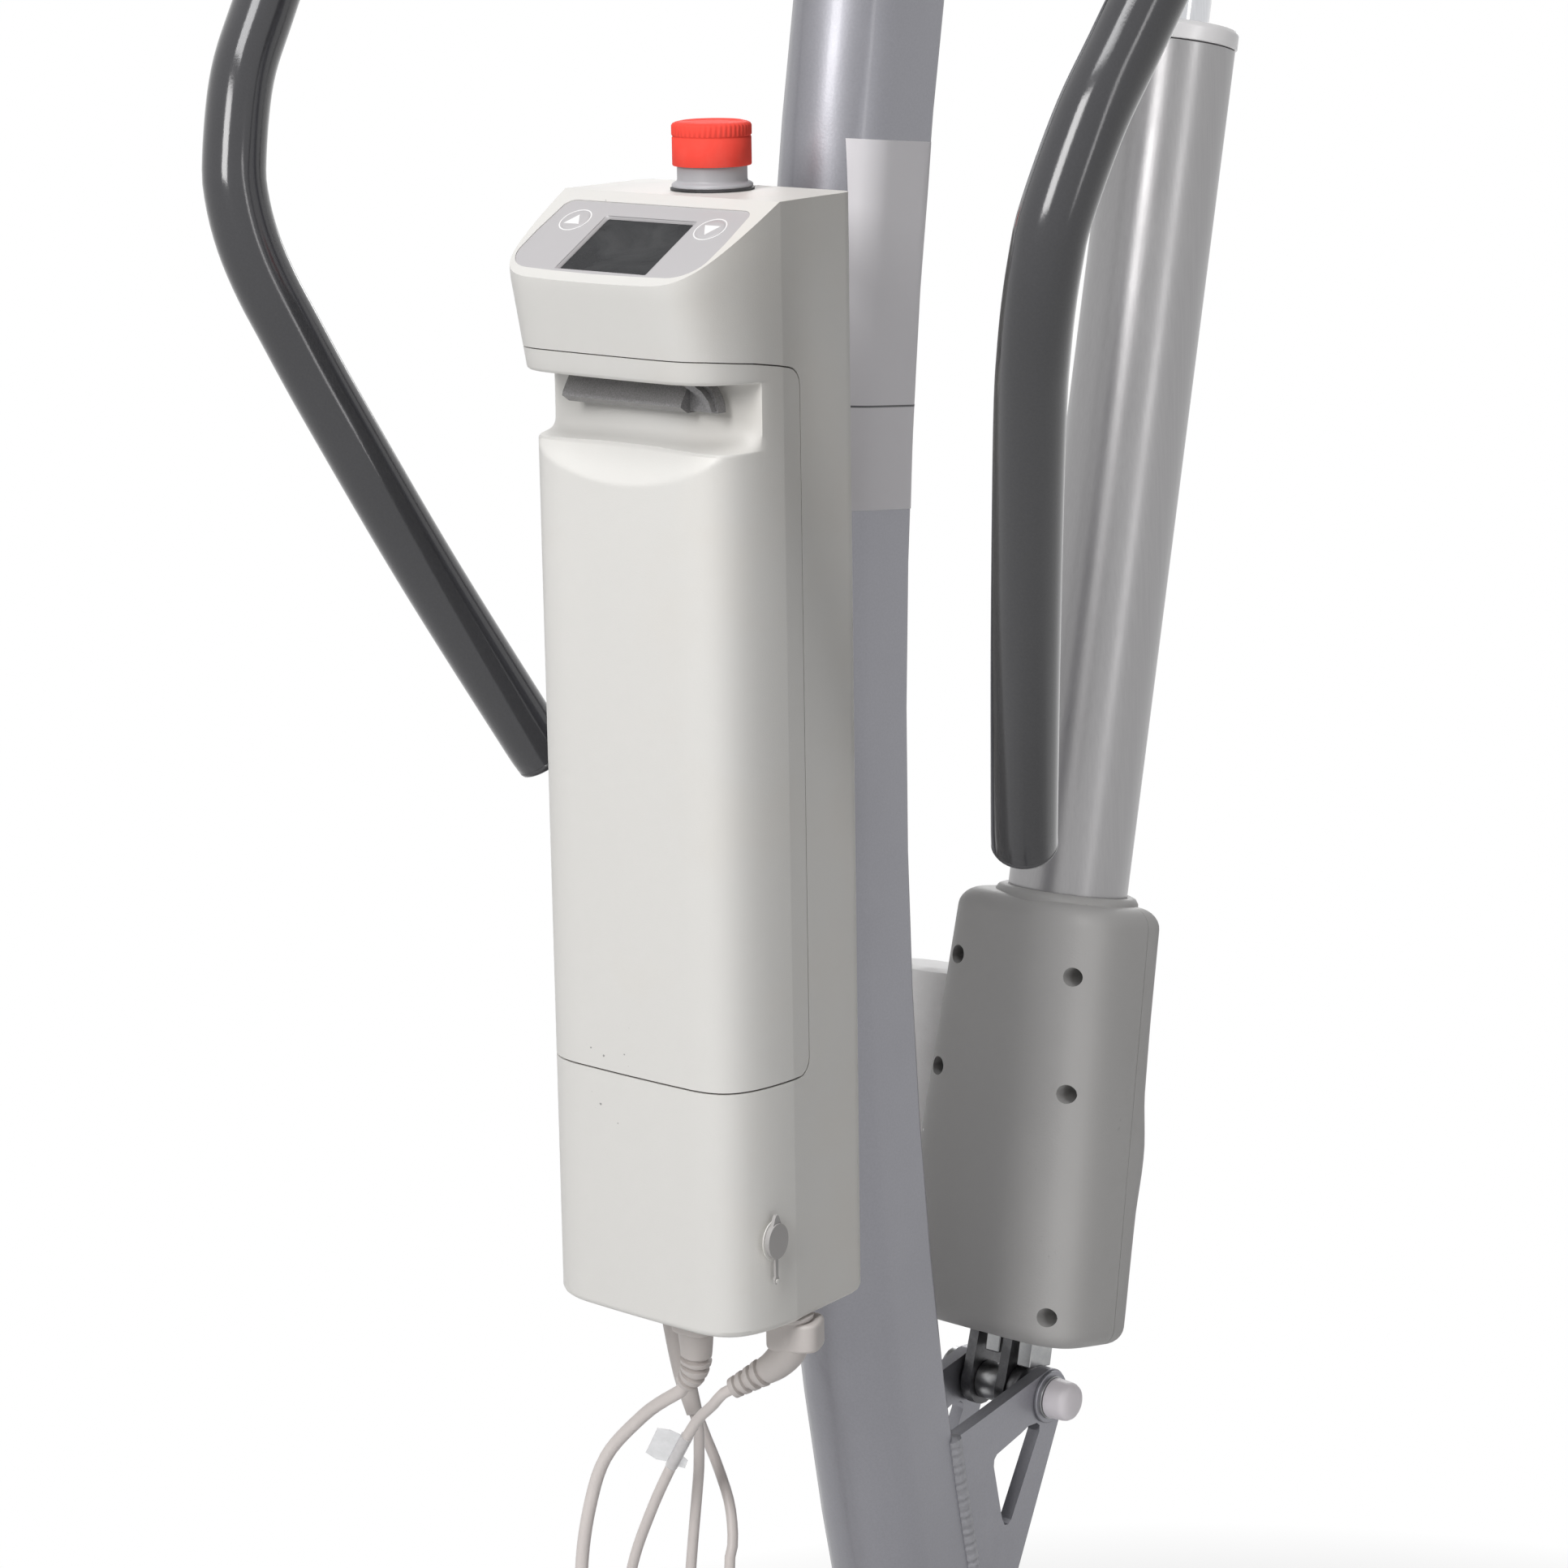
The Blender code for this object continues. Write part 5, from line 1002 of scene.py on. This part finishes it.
WELLS = [on_axis(u, s * y) for u, y in ((196.5, 32.0), (144.0, 36.0), (43.0, 40.5))
         for s in (1, -1)]
for word, sign, side_round in (("rear", -1, 0.4), ("front", 1, 0.36)):
    moulding = half_shell("housing_" + word, sign, side_round)
    rooms = [turned("passage", [(27.7, 170), (27.7, 250)], FOOT, AU, HOUSE, count=64)]
    if word == "rear":
        rooms = [turned("well", [(4.3, -70), (4.3, -19.5), (3.0, -18.5)], at, AV, HOUSE, count=28)
                 for at in WELLS] + rooms
    cut(moulding, *rooms)
    dress(moulding, HOUSE, "actuator", bevel=0.55, angle=42, stand_for=(word + "_shell",))
turned("housing_throat", [(27.65, 222), (33.5, 222), (32.8, 228.6), (31.6, 230.4), (29.4, 231.3),
                          (27.9, 231.0)], FOOT, AU, HOUSE, "actuator", count=64, angle=50)
for n, at in enumerate(WELLS):
    turned("well_screw_%d" % n, [(3.6, -19.0), (3.6, -20.4), (3.1, -21.0), (1.0, -21.2),
                                 (0.9, -20.2)], at, AV, ZINC, "actuator", count=24, angle=35)

# A small light nub on the housing's left edge
turned("housing_nub", [(2.2, 0), (2.2, 0.8), (1.6, 1.5), (0.6, 1.8)], on_axis(113.0, 40.0, -30.6),
       -AV + EY * 0.7, CAP, "actuator", count=24, angle=60)

# Lower pin's milky cap
turned("pin_cap_shell", [(6.4, 27.9), (9.3, 27.9), (9.45, 28.6), (9.25, 29.6), (9.0, 35.0),
                         (8.7, 36.6), (7.9, 38.0), (6.5, 38.95), (4.2, 39.4), (1.5, 39.5)],
       FOOT, -EY, MILK, "chassis", count=48, angle=60, stand_for=("right_pin_cap",))
for side, word in SIDES:
    turned("pin_washer_" + word, [(6.5, 25.05), (12.2, 25.05), (12.2, 26.2), (11.8, 26.5),
                                  (6.5, 26.5)], FOOT, EY * side, SILVER if side < 0 else ZINC,
           "chassis", bevel=0.15)

# Fork under the housing: dark tines on the pin, with bright sleeves and blocks between
outline = [(31.0, 9.0), (31.0, -9.0)] + arc((0, 0), 12.0, 292, 68, 14)
tines = [slab("tine", FOOT, AU, AV, EY, outline, low, low + 5.0, FORK) for low in (11.5, -7.5)]
dress(joined("fork_tines", tines), FORK, "actuator", bevel=0.6, angle=35,
      stand_for=("lower_clevis",))
for word, u, wide, low, high in (("middle", 15.0, 7.5, 0.5, 8.5),
                                 ("right", 12.0, 8.5, -18.0, -10.5)):
    slab("fork_block_" + word, on_axis(u), AU, AV, EY, oblong(0, 15, -wide, wide), low, high,
         ZINC, "actuator", bevel=0.7)
turned("fork_sleeve", [(6.4, -2.2), (8.6, -2.2), (8.9, -1.8), (8.9, 10.8), (8.6, 11.2),
                       (6.4, 11.2)], FOOT, EY, ZINC, "actuator", count=48, angle=50)
turned("fork_washer", [(6.4, -8.0), (11.0, -8.0), (11.4, -8.5), (11.4, -12.6), (10.8, -13.2),
                       (6.4, -13.2)], FOOT, EY, FORK, "actuator", count=48, angle=50)
slab("fork_nut", FOOT, AU, AV, EY, hexagon(8.0, 12), -18.0, -13.3, ZINC, "actuator", bevel=0.5)

# Bracket: the solid's own plates with the photograph's larger three-cornered opening
plates = placed("bracket_plates", NODES["actuator_bracket"].data.copy())
gap = [(241.4, -119.6), (238.0, -119.2), (232.2, -120.9), (213.6, -124.9), (211.6, -126.8),
       (211.2, -130.0), (217.4, -157.6), (219.4, -161.4), (222.2, -161.8), (224.6, -160.2),
       (246.3, -124.6), (246.5, -121.6), (244.4, -119.8)]
cut(plates, prism("opening", gap, "Y", -60, 60, SILVER))
dress(plates, SILVER, "chassis", bevel=1.3, angle=38, steps=3, stand_for=("actuator_bracket",))

# The mast's own curve: a bend of this radius between two straight ends
BEND_R, BEND_MID, BEND_X = 1736.0, 206.6, 123.7
BEND_LOW, BEND_HIGH = -406.6, 333.4
MAST_HALF = 25.4       # half its width, and the radius of its rounded back
FLAT_END = 25.7        # where its flat sides turn into the front corners


def mast_x(z):
    """Middle of the mast's rounded back at this height."""
    dz = z - BEND_MID
    held = max(BEND_LOW, min(BEND_HIGH, dz))
    root = math.sqrt(BEND_R ** 2 - held ** 2)
    return BEND_X + BEND_R - root + (dz - held) * held / root


def on_mast(x, z, lift):
    """The point on the mast's right side at x and z, lifted off its face."""
    dx = x - mast_x(z)
    if dx < 0:
        n = Vector((dx, -math.sqrt(max(0.0, MAST_HALF ** 2 - dx * dx)), 0)).normalized()
        return Vector((mast_x(z), 0, z)) + n * (MAST_HALF + lift)
    if dx > FLAT_END:
        past = min(dx - FLAT_END, 3.9)
        n = Vector((past, -math.sqrt(max(0.02, 16 - past ** 2)), 0))
        return Vector((mast_x(z) + FLAT_END, 4.0 - MAST_HALF, z)) + n.normalized() * (4.0 + lift)
    return Vector((x, -MAST_HALF - lift, z))


def patch(name, corners, nx, nz, low, high, paint):
    """A thin sheet that follows the mast's right side between four corners."""
    a, b, c, d = [Vector((x, 0, z)) for x, z in corners]
    top, low_side = [], []
    for j in range(nz + 1):
        for i in range(nx + 1):
            p = a.lerp(b, i / nx).lerp(d.lerp(c, i / nx), j / nz)
            top.append(on_mast(p.x, p.z, high))
            low_side.append(on_mast(p.x, p.z, low))
    w, off = nx + 1, len(top)
    faces = []
    for j in range(nz):
        for i in range(nx):
            q = [j * w + i, j * w + i + 1, (j + 1) * w + i + 1, (j + 1) * w + i]
            faces += [q, [v + off for v in q[::-1]]]
    rim = list(range(nx)) + [j * w + nx for j in range(nz)]
    rim += [nz * w + i for i in range(nx, 0, -1)] + [j * w for j in range(nz, 0, -1)]
    for a, b in zip(rim, rim[1:] + rim[:1]):
        faces.append([a, b, b + off, a + off])
    solid(name, top + low_side, faces, paint, "chassis", angle=50)


# Side label, left blank, with one dividing line
patch("blank_label", [(124.8, 471.0), (172.6, 466.3), (157.6, 316.2), (115.2, 321.0)], 20, 30,
      0.05, 0.28, STICKER)
patch("label_rule", [(118.2, 363.9), (161.4, 359.3), (161.3, 358.5), (118.1, 363.1)], 20, 1,
      0.2, 0.34, RULE)


# Weld beads where the bracket meets the mast, and at the sleeve
def bead(name, points, size, ripple):
    route = even(points, 0.8)
    radii = [size * (0.92 + 0.08 * abs(math.sin(math.pi * i * 0.8 / ripple))
                     + 0.02 * math.sin(i * 1.7)) for i in range(len(route))]
    radii[0] = radii[-1] = size * 0.4
    swept(name, route, radii, 12, WELD, "chassis", angle=70)


for side, word in SIDES:
    bead("bracket_weld_" + word, [(mast_x(z) + 29.4, side * 23.6, z) for z in
                                  (-106, -125, -145, -165, -185, -205, -224)], 4.4, 4.6)
bead("bracket_weld_low", [(mast_x(-225) + 30.2, y, -225.0) for y in (-24, -12, 0, 12, 24)], 2.4,
     3.4)

# Clear tag folded round the motor lead, left blank
tag_path = motor_route[8:13]
middle = motor_route[10]
d = (tag_path[-1] - tag_path[0]).normalized()
flag = Vector((-0.55, 0.67, 0.49))
flag = (flag - d * flag.dot(d)).normalized()
swept("tag_sleeve", [middle + d * k for k in (-9.5, -4.0, 4.0, 9.5)], 2.75, 24, CLEAR,
      "chassis", angle=50)
slab("tag_flag", middle, d, flag, d.cross(flag),
     [(-8.8, 2.0), (8.2, 2.0), (9.6, 7.0), (8.4, 12.4), (-7.2, 12.8), (-9.2, 7.6)], -0.18, 0.18,
     CLEAR, "chassis", smooth=False)
slab("tag_flap", middle, d, -flag, d.cross(flag),
     [(2.0, 2.2), (8.6, 2.2), (8.0, 5.6), (3.4, 5.2)], -0.18, 0.18, CLEAR, "chassis", smooth=False)


# Parts below and above the photograph: casters, bolts, end plugs, spreader bar, handset
def hoop(name, loop, centre, axis, paint, body, count=72, **more):
    """A ring turned from a closed section of (radius, distance along the axis)."""
    centre, axis = Vector(centre), Vector(axis).normalized()
    spokes = around(*across(axis), count)
    rings = [[centre + axis * h + spoke * r for spoke in spokes] for r, h in loop + loop[:1]]
    verts, faces = shell_of(rings, caps=False)
    return solid(name, verts, faces, paint, body, **more)


def nut(name, centre, axis, size, thick, paint, body, turn=0.0):
    side, other = across(axis)
    slab(name, centre, side, other, Vector(axis).normalized(), hexagon(size, turn), 0.0, thick,
         paint, body, bevel=0.5, angle=25)


def washer(name, at, axis, hole, size, thick, body, count=36, edge=0.3):
    turned(name, [(hole, 0.0), (size, 0.0), (size, thick - edge), (size - 0.4, thick),
                  (hole, thick)], at, axis, ZINC, body, count=count, angle=40)


def screw(name, centre, axis, size, paint, body):
    """A domed screw head with a round recess."""
    head = ((1, 0.0), (1, 0.28), (0.86, 0.5), (0.56, 0.62), (0.5, 0.62), (0.46, 0.12))
    turned(name, [(size * r, size * h) for r, h in head], centre, axis, paint, body, count=36,
           angle=40)


HALF_WHEEL = 13.0


def wheel(place, x, y, z, r, w=HALF_WHEEL):
    """Tyre with two grooves, and a hub with five ribs on each side."""
    body = place + "_wheel"
    half = [(0.76 * r, w - 3.0), (0.80 * r, w - 0.6), (0.84 * r, w - 0.2), (0.92 * r, w - 0.5),
            (0.965 * r, w - 2.2), (0.99 * r, w - 4.6), (r, w - 7.4), (r, 4.9), (r - 0.9, 4.5),
            (r - 0.9, 3.7), (r, 3.3)]
    loop = half + [(p, -h) for p, h in half[::-1]]
    hoop(place + "_tyre", loop, (x, y, z), EY, TYRE, body, angle=40, stand_for=(body,))
    half = [(4.4, w - 0.3), (0.24 * r, w - 0.3), (0.30 * r, w - 1.4), (0.33 * r, w - 5.0),
            (0.64 * r, w - 5.0), (0.68 * r, w - 1.8), (0.72 * r, w - 0.9), (0.77 * r, w - 1.4)]
    loop = half + [(p, -h) for p, h in half[::-1]]
    hoop(place + "_hub", loop, (x, y, z), EY, HUB, body, angle=35)
    for n in range(5):
        a = 2 * math.pi * n / 5 + 0.3
        d, e = Vector((math.cos(a), 0, math.sin(a))), Vector((-math.sin(a), 0, math.cos(a)))
        slab("%s_rib_%d" % (place, n), (x, y, z), d, e, EY,
             [(0.27 * r, -2.4), (0.70 * r, -1.7), (0.70 * r, 1.7), (0.27 * r, 2.4)],
             2.2 - w, w - 2.2, HUB, body, bevel=0.5, angle=30)


REAR_Y, FRONT_Y = 255.0, 290.0         # how far to the side the casters stand
FORK_SIDE = HALF_WHEEL + 4.0
for end, x, reach, z, radius in (("rear_", -37.5, REAR_Y, -650.43, 50.0),
                                 ("front_", 1047.5, FRONT_Y, -662.82, 37.5)):
    for side, word in SIDES:
        place, y = end + word, side * reach
        wheel(place, x, y, z, radius * math.cos(math.pi / 24))
        nut(place + "_axle_head", (x, y - FORK_SIDE, z), -EY, 6.6, 3.8, ZINC, place + "_fork", 14)
        nut(place + "_axle_nut", (x, y + FORK_SIDE, z), EY, 6.6, 5.0, ZINC, place + "_fork", 40)
for side, word in SIDES:
    turned("rear_%s_stem_cap" % word, [(15.0, 0.0), (15.6, 0.6), (15.2, 2.6), (13.4, 4.2),
                                       (8.0, 5.2), (2.0, 5.5)], (-7.5, side * REAR_Y, -558.2), EZ,
           BLACK, "chassis", count=48, angle=50)
    stem = Vector((1072.5, side * FRONT_Y, -604.0))
    washer("front_%s_stem_washer" % word, stem, EZ, 7.0, 12.6, 1.7, "front_%s_fork" % word, 40)
    nut("front_%s_stem_nut" % word, stem + EZ * 1.7, EZ, 10.4, 6.4, ZINC, "front_%s_fork" % word)


def frame_plug(name, centre, a, b, half_a, half_b, axis, body, r=4.5):
    """A black plug pushed into the end of a rectangular tube."""
    return slab(name, centre, a, b, axis, rounded(-half_a, half_a, -half_b, half_b, r, 5), -1.0,
                1.9, BLACK, body, bevel=0.7)


for side, word in SIDES:
    frame_plug("beam_plug_" + word, (262.0, side * 314.0, -580.0), EX, EZ, 35.0, 19.0, EY * side,
               "chassis")
    frame_plug("leg_plug_" + word, (1006.0, side * FRONT_Y, -625.0), EY, EZ, 19.0, 19.0, EX,
               word + "_leg", 3.6)

# Boom: its front plug, and the nuts on its pivot
LIFT = math.radians(28.1035)
BOOM_ON = Vector((math.cos(LIFT), 0, math.sin(LIFT)))
BOOM_UP = Vector((-math.sin(LIFT), 0, math.cos(LIFT)))
PIVOT = Vector((198.0, 0, 742.0))
TIP = PIVOT + BOOM_ON * 812.0
front_plug = frame_plug("boom_plug", TIP, EY, BOOM_UP, 24.2, 29.2, BOOM_ON, None, 7.5)
cut(front_plug, slab("lug_room", TIP, EY, BOOM_UP, BOOM_ON, oblong(-10.4, 10.4, -16.4, 16.4), -6,
                     6, BLACK))
dress(front_plug, BLACK, "boom", bevel=0.5)
HANG_X = 956.6         # the hanger's place, straight under the boom's tip
for side, word in SIDES:
    nut("pivot_nut_" + word, PIVOT + EY * side * 38.0, EY * side, 9.6, 5.4, ZINC, "chassis", 8)
    screw("tip_screw_" + word, (HANG_X, side * 16.2, 1147.1), EY * side, 8.4, ZINC, "hanger")

# Clamp, back plate and mast foot fixings
for side, word in SIDES:
    for z in (607.5, 632.5):
        screw("clamp_screw_%s_%d" % (word, z), (112.75, side * 25.5, z), -EX, 4.2, ZINC, "chassis")
    for z in (18.0, 437.0):
        screw("plate_screw_%s_%d" % (word, z), (78.7, side * 41.0, z), EX, 4.0, ZINC, "chassis")
    for z in (90.0, 360.0):
        washer("saddle_washer_%s_%d" % (word, z), (92.0, side * 21.0, z), EY * side, 4.0, 8.4,
               1.5, "chassis")
        nut("saddle_bolt_%s_%d" % (word, z), (92.0, side * 22.5, z), EY * side, 6.4, 4.4, ZINC,
            "chassis", 10)
    for z in (-493.0, -537.0):
        at = Vector((mast_x(z) + 6.0, side * 31.7, z))
        washer("foot_washer_%s_%d" % (word, -z), at, EY * side, 5.0, 11.0, 1.8, "chassis",
               edge=0.4)
        nut("foot_bolt_%s_%d" % (word, -z), at + EY * side * 1.8, EY * side, 8.6, 5.4, ZINC,
            "chassis", 5)

foot_x = mast_x(-559.5)
half = arc((foot_x, 0), 32, 90, 180, 6)
front = [(foot_x + 20.0, 32.0), (foot_x + 34.0, 30.5), (foot_x + 36.2, 27.0), (foot_x + 36.2, 0.0)]
ring = [(x, y, -559.4) for x, y in half + [(x, -y) for x, y in half[-2::-1] + front]
        + front[-2::-1] + half[:1]]
bead("sleeve_weld", ring, 3.6, 3.6)

# Leg drive box: lid lip, lid screws and the gland round its lead
slab("drive_lid", (190.2, 0, -585.0), EX, EY, EZ, rounded(-35.2, 35.2, -38.2, 38.2, 5.0, 5), 0.0,
     3.4, BLACK, "chassis", bevel=0.6)
for n in range(4):
    screw("lid_screw_%d" % n, ((162.5, 218.5)[n // 2], (31.0, -31.0)[n % 2], -575.0), EZ, 3.2,
          ZINC, "chassis")
hoop("lead_gland", [(6.2, 0.0), (9.6, 0.0), (9.8, 0.6), (9.8, 4.6), (8.4, 6.0), (6.2, 6.0)],
     (GLAND[0], GLAND[1], -575.0), EZ, BLACK, "chassis", count=36, angle=40)

# Spreader bar, drawn finer: hub, two arms with rounded ends, and the ears of the catches
HUB_LOW = 961.1
hub_loop = [(9.3, 0.0), (17.6, 0.0), (19.0, 1.4), (19.0, 38.3), (17.6, 39.6), (9.3, 39.6)]
hub = hoop("spreader_hub", hub_loop, (HANG_X, 0, HUB_LOW), EZ, ZINC, None)
ARM = [(12, 0), (60, 1), (120, 0), (165, -5), (197, -18), (216, -40), (210, -62), (191, -71),
       (174, -62), (170, -47)]
arms = [hub]
for side, word in SIDES:
    route = even([(HANG_X, side * p[0], HUB_LOW + 20.0 + p[1]) for p in ARM], 3.0)
    last = len(route) - 1
    radii = [12.0 - 5.0 * max(0.0, (i / last - 0.45) / 0.55) for i in range(last + 1)]
    tail, way = route[-1], (route[-1] - route[-2]).normalized()
    for k in (0.35, 0.62, 0.82, 0.95, 0.995):
        route.append(tail + way * 7.0 * k)
        radii.append(7.0 * math.sqrt(1 - k * k))
    arms.append(swept("arm", route, radii, 32, ZINC))
    ear = oblong(HANG_X - 2.5, HANG_X + 2.5, HUB_LOW - 4.0, HUB_LOW + 20.0)
    arms.append(prism("ear", ear, "Y", side * 163.0 - 5.0, side * 163.0 + 5.0, ZINC))
dress(joined("spreader_arms", arms), ZINC, "spreader_bar", angle=50, stand_for=("spreader_bar",))

# Handset: raised arrows on its rocker, and the boot where its lead goes in
for word, z, flip in (("up", -364.0, 1), ("down", -386.0, -1)):
    slab("rocker_arrow_" + word, (118.55, 0, z), EY, EZ, -EX,
         [(-3.6, -2.4 * flip), (3.6, -2.4 * flip), (0, 3.4 * flip)], -0.5, 0.25, PRINT,
         "handset_rocker", smooth=False)
boot = [(7.4, 1.0), (7.4, -2.0)]
for k in range(5):
    boot += [(6.6 - k * 0.6, -2.6 - k * 2.6), (6.4 - k * 0.6, -4.2 - k * 2.6),
             (5.2 - k * 0.42, -4.3 - k * 2.6), (5.1 - k * 0.42, -5.1 - k * 2.6)]
boot.append((3.2, -15.8))
turned("handset_boot", boot, (133.0, 0, -470.0), EZ, GREY, "chassis", count=36, angle=40)
